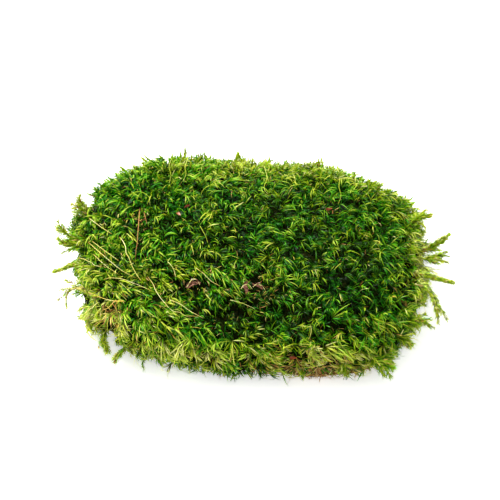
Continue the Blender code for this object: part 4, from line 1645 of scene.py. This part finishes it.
class LayLitter(bpy.types.Operator):
    """Lays the straw, the pine needles, the dead leaves and the bud scales on the moss"""

    bl_idname = "moss.lay_litter"
    bl_label = "Litter"

    def execute(self, context):
        settings = context.scene.moss_litter
        colours = context.scene.moss_colours
        girth = settings.stalk_girth
        straw = dry_grass_culm(colours)
        for number, (name, (_, thickness, _)) in enumerate(STRAW_STALKS.items()):
            thick = girth * thickness * MM
            self.lay_stem("straw_stalk", name, thick, straw, "dry_straw", number)
        needle = dry_pine_needle(colours)
        for number, (name, (_, thickness, _)) in enumerate(PINE_NEEDLES.items()):
            thick = 1.7 * girth * thickness * MM
            self.lay_stem("pine_needle", name, thick, needle, "brown_needle", number + 20)
        litter = dry_leaf_litter(colours)
        for name, scrap in DEAD_LEAVES.items():
            self.lay_leaf(name, scrap, litter, settings)
        resin = bud_scale_resin(colours)
        for name, scrap in BUD_SCALES.items():
            self.lay_bud(name, scrap, resin)
        return {"FINISHED"}

    @staticmethod
    def lay_stem(kind, name, thick, material, slot, number):
        """One straw stalk with its swollen joint, or one needle, flat on one side."""
        draw = np.random.default_rng(SEED + 40 + number)
        node = f"{kind}_{name}"
        straw = kind == "straw_stalk"
        line = smooth_line(LINES[node], 5)
        share = np.linspace(0, 1, len(line))
        radius = 0.5 * thick * (1 - (1 - STALK_TAPER) * share)
        tone = 0.80 + 0.10 * np.sin(share * draw.uniform(4, 9) + draw.uniform(0, 6))
        ends = np.exp(-((share / 0.06) ** 2)) + np.exp(-(((1 - share) / 0.08) ** 2))
        joint = np.exp(-(((share - draw.uniform(0.35, 0.6)) / 0.02) ** 2)) * straw
        tone = np.clip(tone - 0.55 * ends - 0.35 * joint, 0.02, 0.98)
        radius = radius * (1 - 0.5 * np.exp(-((share / 0.01) ** 2))) * (1 + 0.35 * joint)
        radius[-1] *= 0.4
        skin = Skin()
        relief = (0.10, 1.0) if straw else (0.0, 0.4)
        grow_tube(skin, line, radius, 10, share, tone, relief)
        put(node + "_culm", skin.mesh(node + "_culm", material), node)

    @staticmethod
    def lay_leaf(name, scrap, material, settings):
        """One dead leaf, curled up lengthways, with ragged margins."""
        pixel, length, width, turn = scrap
        draw = np.random.default_rng(SEED + 70 + int(name))
        lie = np.array(resting_frame(mound.tree, pixel, DEAD_LEAF_HEIGHT, turn))
        columns, rows = 26, 18
        a, b = np.meshgrid(np.linspace(-0.5, 0.5, columns), np.linspace(-0.5, 0.5, rows))
        rag = 0.8 + 0.16 * np.sin(a * 19 + 2) + 0.12 * np.sin(a * 43 + b)
        bend = b * settings.leaf_curl * rag
        narrow = np.sqrt(np.clip(1 - (2.05 * a) ** 2, 0.03, 1))
        radius = width * MM / settings.leaf_curl * narrow
        wave = 0.08 * length * MM * np.sin(math.tau * a + 1)
        x = a * length * MM
        y = radius * np.sin(bend) + wave
        z = radius * (1 - np.cos(bend)) + 0.25 * MM * np.sin(a * 14) * np.cos(b * 9)
        points = np.stack((x, y, z, np.ones_like(x)), -1) @ lie.T
        here = (np.arange(rows - 1)[:, None] * columns + np.arange(columns - 1)[None]).ravel()
        wear = [noise.noise(Vector((4 * u, 5 * v, 7 * int(name)))) for u, v in zip(a.ravel(), b.ravel())]
        whole = (np.array(wear) > -0.12) | (np.abs(b.ravel()) < 0.05)
        here = here[whole[here]]
        quads = np.stack((here, here + 1, here + columns + 1, here + columns), -1)
        vein = 0.12 * np.exp(-((b / 0.03) ** 2))
        margin = 0.5 * smoothstep(0.34, 0.46, b) * (0.5 + 0.5 * np.sin(a * 7 + 1))
        blotch = 0.34 + 0.16 * np.sin(a * 9 + 3 * b) * np.cos(b * 13 + a * 4) + vein + margin
        blotch = np.clip(blotch, 0.02, 0.96)
        spots = np.stack((b + 0.5, blotch), -1)
        skin = Skin()
        skin.add(points[..., :3], quads, np.full(len(quads), 4), spots)
        mesh = skin.mesh(f"curled_leaf_{name}", material)
        piece = put(f"curled_leaf_{name}", mesh, f"dead_leaf_{name}")
        sheet = piece.modifiers.new("thickness", "SOLIDIFY")
        sheet.thickness = settings.leaf_thickness
        sheet.offset = 0

    @staticmethod
    def lay_bud(name, scrap, material):
        """One cluster of bud scales that overlap towards their tip."""
        pixel, length, width, turn, shade = scrap
        draw = np.random.default_rng(SEED + 90 + int(name))
        lie = np.array(resting_frame(mound.tree, pixel, BUD_HEIGHT, turn))[:3, :3]
        place = np.array(resting_frame(mound.tree, pixel, BUD_HEIGHT, turn))[:3, 3]
        count = 9
        turns = np.arange(count) * GOLDEN_ANGLE
        share = np.linspace(0, 1, count)
        heading = lie[:, 0]
        radial = np.cos(turns)[:, None] * lie[:, 1] + np.sin(turns)[:, None] * lie[:, 2] * 0.7
        start = place - heading * (0.6 * length * MM) + heading * (share * 0.35 * length * MM)[:, None]
        start = start + radial * (0.12 * width * MM)
        spread = 0.5 * (1 - 0.6 * share)
        way = unit(heading + radial * spread[:, None])
        bend = heading * 0.5 - radial * 0.75
        side = np.cross(radial, heading)
        skin = Skin()
        tone = np.clip(shade - 0.1 + 0.2 * share + draw.normal(0, 0.05, count), 0.02, 0.98)
        scales = dict(
            start=start, way=way, side=side, bend=bend,
            length=np.full(count, 0.86 * length * MM),
            width=np.full(count, 0.44 * width * MM),
            cup=np.full(count, 0.7), tone=tone,
        )
        grow_blades(skin, scales, LONG_BLADE)
        put(f"bud_scales_{name}", skin.mesh(f"bud_scales_{name}", material), f"bud_scale_{name}")


class BuildStage(bpy.types.Operator):
    """Lays the pale light table, lights the clump softly and places the camera"""

    bl_idname = "moss.build_stage"
    bl_label = "Stage"

    def execute(self, context):
        scene = context.scene
        settings = scene.moss_stage
        mesh = bpy.data.meshes.new("floor")
        shape = bmesh.new()
        bmesh.ops.create_grid(shape, x_segments=1, y_segments=1, size=4)
        shape.to_mesh(mesh)
        shape.free()
        floor = bpy.data.objects.new("floor", mesh)
        scene.collection.objects.link(floor)
        material, tree, output = blank_material("opal_acrylic")
        surface = add_node(
            tree,
            "ShaderNodeBsdfPrincipled",
            inputs={
                "Base Color": linear("#F7F7F7"),
                "Roughness": 0.8,
                "Emission Color": linear("#FFFFFF"),
                "Emission Strength": settings.table_glow,
            },
        )
        tree.links.new(surface.outputs["BSDF"], output.inputs["Surface"])
        mesh.materials.append(material)

        world = bpy.data.worlds.new("white_room")
        scene.world = world
        world.use_nodes = True
        back = world.node_tree.nodes["Background"]
        back.inputs["Color"].default_value = linear("#FFFFFF")
        back.inputs["Strength"].default_value = settings.sky

        for name, place, size, power in (
            ("key_light", (-0.35, 0.45, 0.85), 0.45, settings.key_power),
        ):
            light = bpy.data.lights.new(name, "AREA")
            light.size = size
            light.energy = power
            lamp = bpy.data.objects.new(name, light)
            scene.collection.objects.link(lamp)
            lamp.location = place
            lamp.rotation_euler = (-Vector(place)).to_track_quat("-Z", "Y").to_euler()

        eye, ahead, _ = sight_frame()
        camera = bpy.data.cameras.new("camera")
        camera.sensor_width = SENSOR_WIDTH
        camera.lens = SIGHT_DISTANCE / PIXEL * SENSOR_WIDTH / PICTURE_PIXELS
        viewer = bpy.data.objects.new("camera", camera)
        scene.collection.objects.link(viewer)
        viewer.location = eye
        viewer.rotation_euler = ahead.to_track_quat("-Z", "Y").to_euler()
        scene.camera = viewer
        scene.view_settings.view_transform = "Standard"
        return {"FINISHED"}


class MossPanel(bpy.types.Panel):
    """Lists the steps that dress the clump"""

    bl_idname = "MOSS_PT_panel"
    bl_label = "Moss clump"
    bl_space_type = "VIEW_3D"
    bl_region_type = "UI"
    bl_category = "Moss clump"

    def draw(self, context):
        for step in STEPS:
            self.layout.operator(step.bl_idname)
        for group in GROUPS:
            settings = getattr(context.scene, group)
            for name in settings.bl_rna.properties.keys():
                if name not in ("rna_type", "name"):
                    self.layout.prop(settings, name)


STEPS = (GrowLivingMoss, GrowRootMat, GrowEdgeShoots, LayLitter, BuildStage)
GROUPS = {
    "moss_leaves": MossLeafSettings,
    "moss_colours": ColourSettings,
    "moss_mat": MatSettings,
    "moss_litter": LitterSettings,
    "moss_stage": StageSettings,
}
CLASSES = (*GROUPS.values(), *STEPS, MossPanel)


def register():
    """Registers the classes and their settings."""
    for item in CLASSES:
        bpy.utils.register_class(item)
    for name, group in GROUPS.items():
        setattr(bpy.types.Scene, name, bpy.props.PointerProperty(type=group))


def unregister():
    """Takes the classes and their settings out again."""
    for name in GROUPS:
        delattr(bpy.types.Scene, name)
    for item in reversed(CLASSES):
        bpy.utils.unregister_class(item)


def main():
    register()
    bpy.ops.moss.grow_living()
    bpy.ops.moss.grow_mat()
    bpy.ops.moss.grow_edge_shoots()
    bpy.ops.moss.lay_litter()
    bpy.ops.moss.build_stage()


if __name__ == "__main__":
    main()
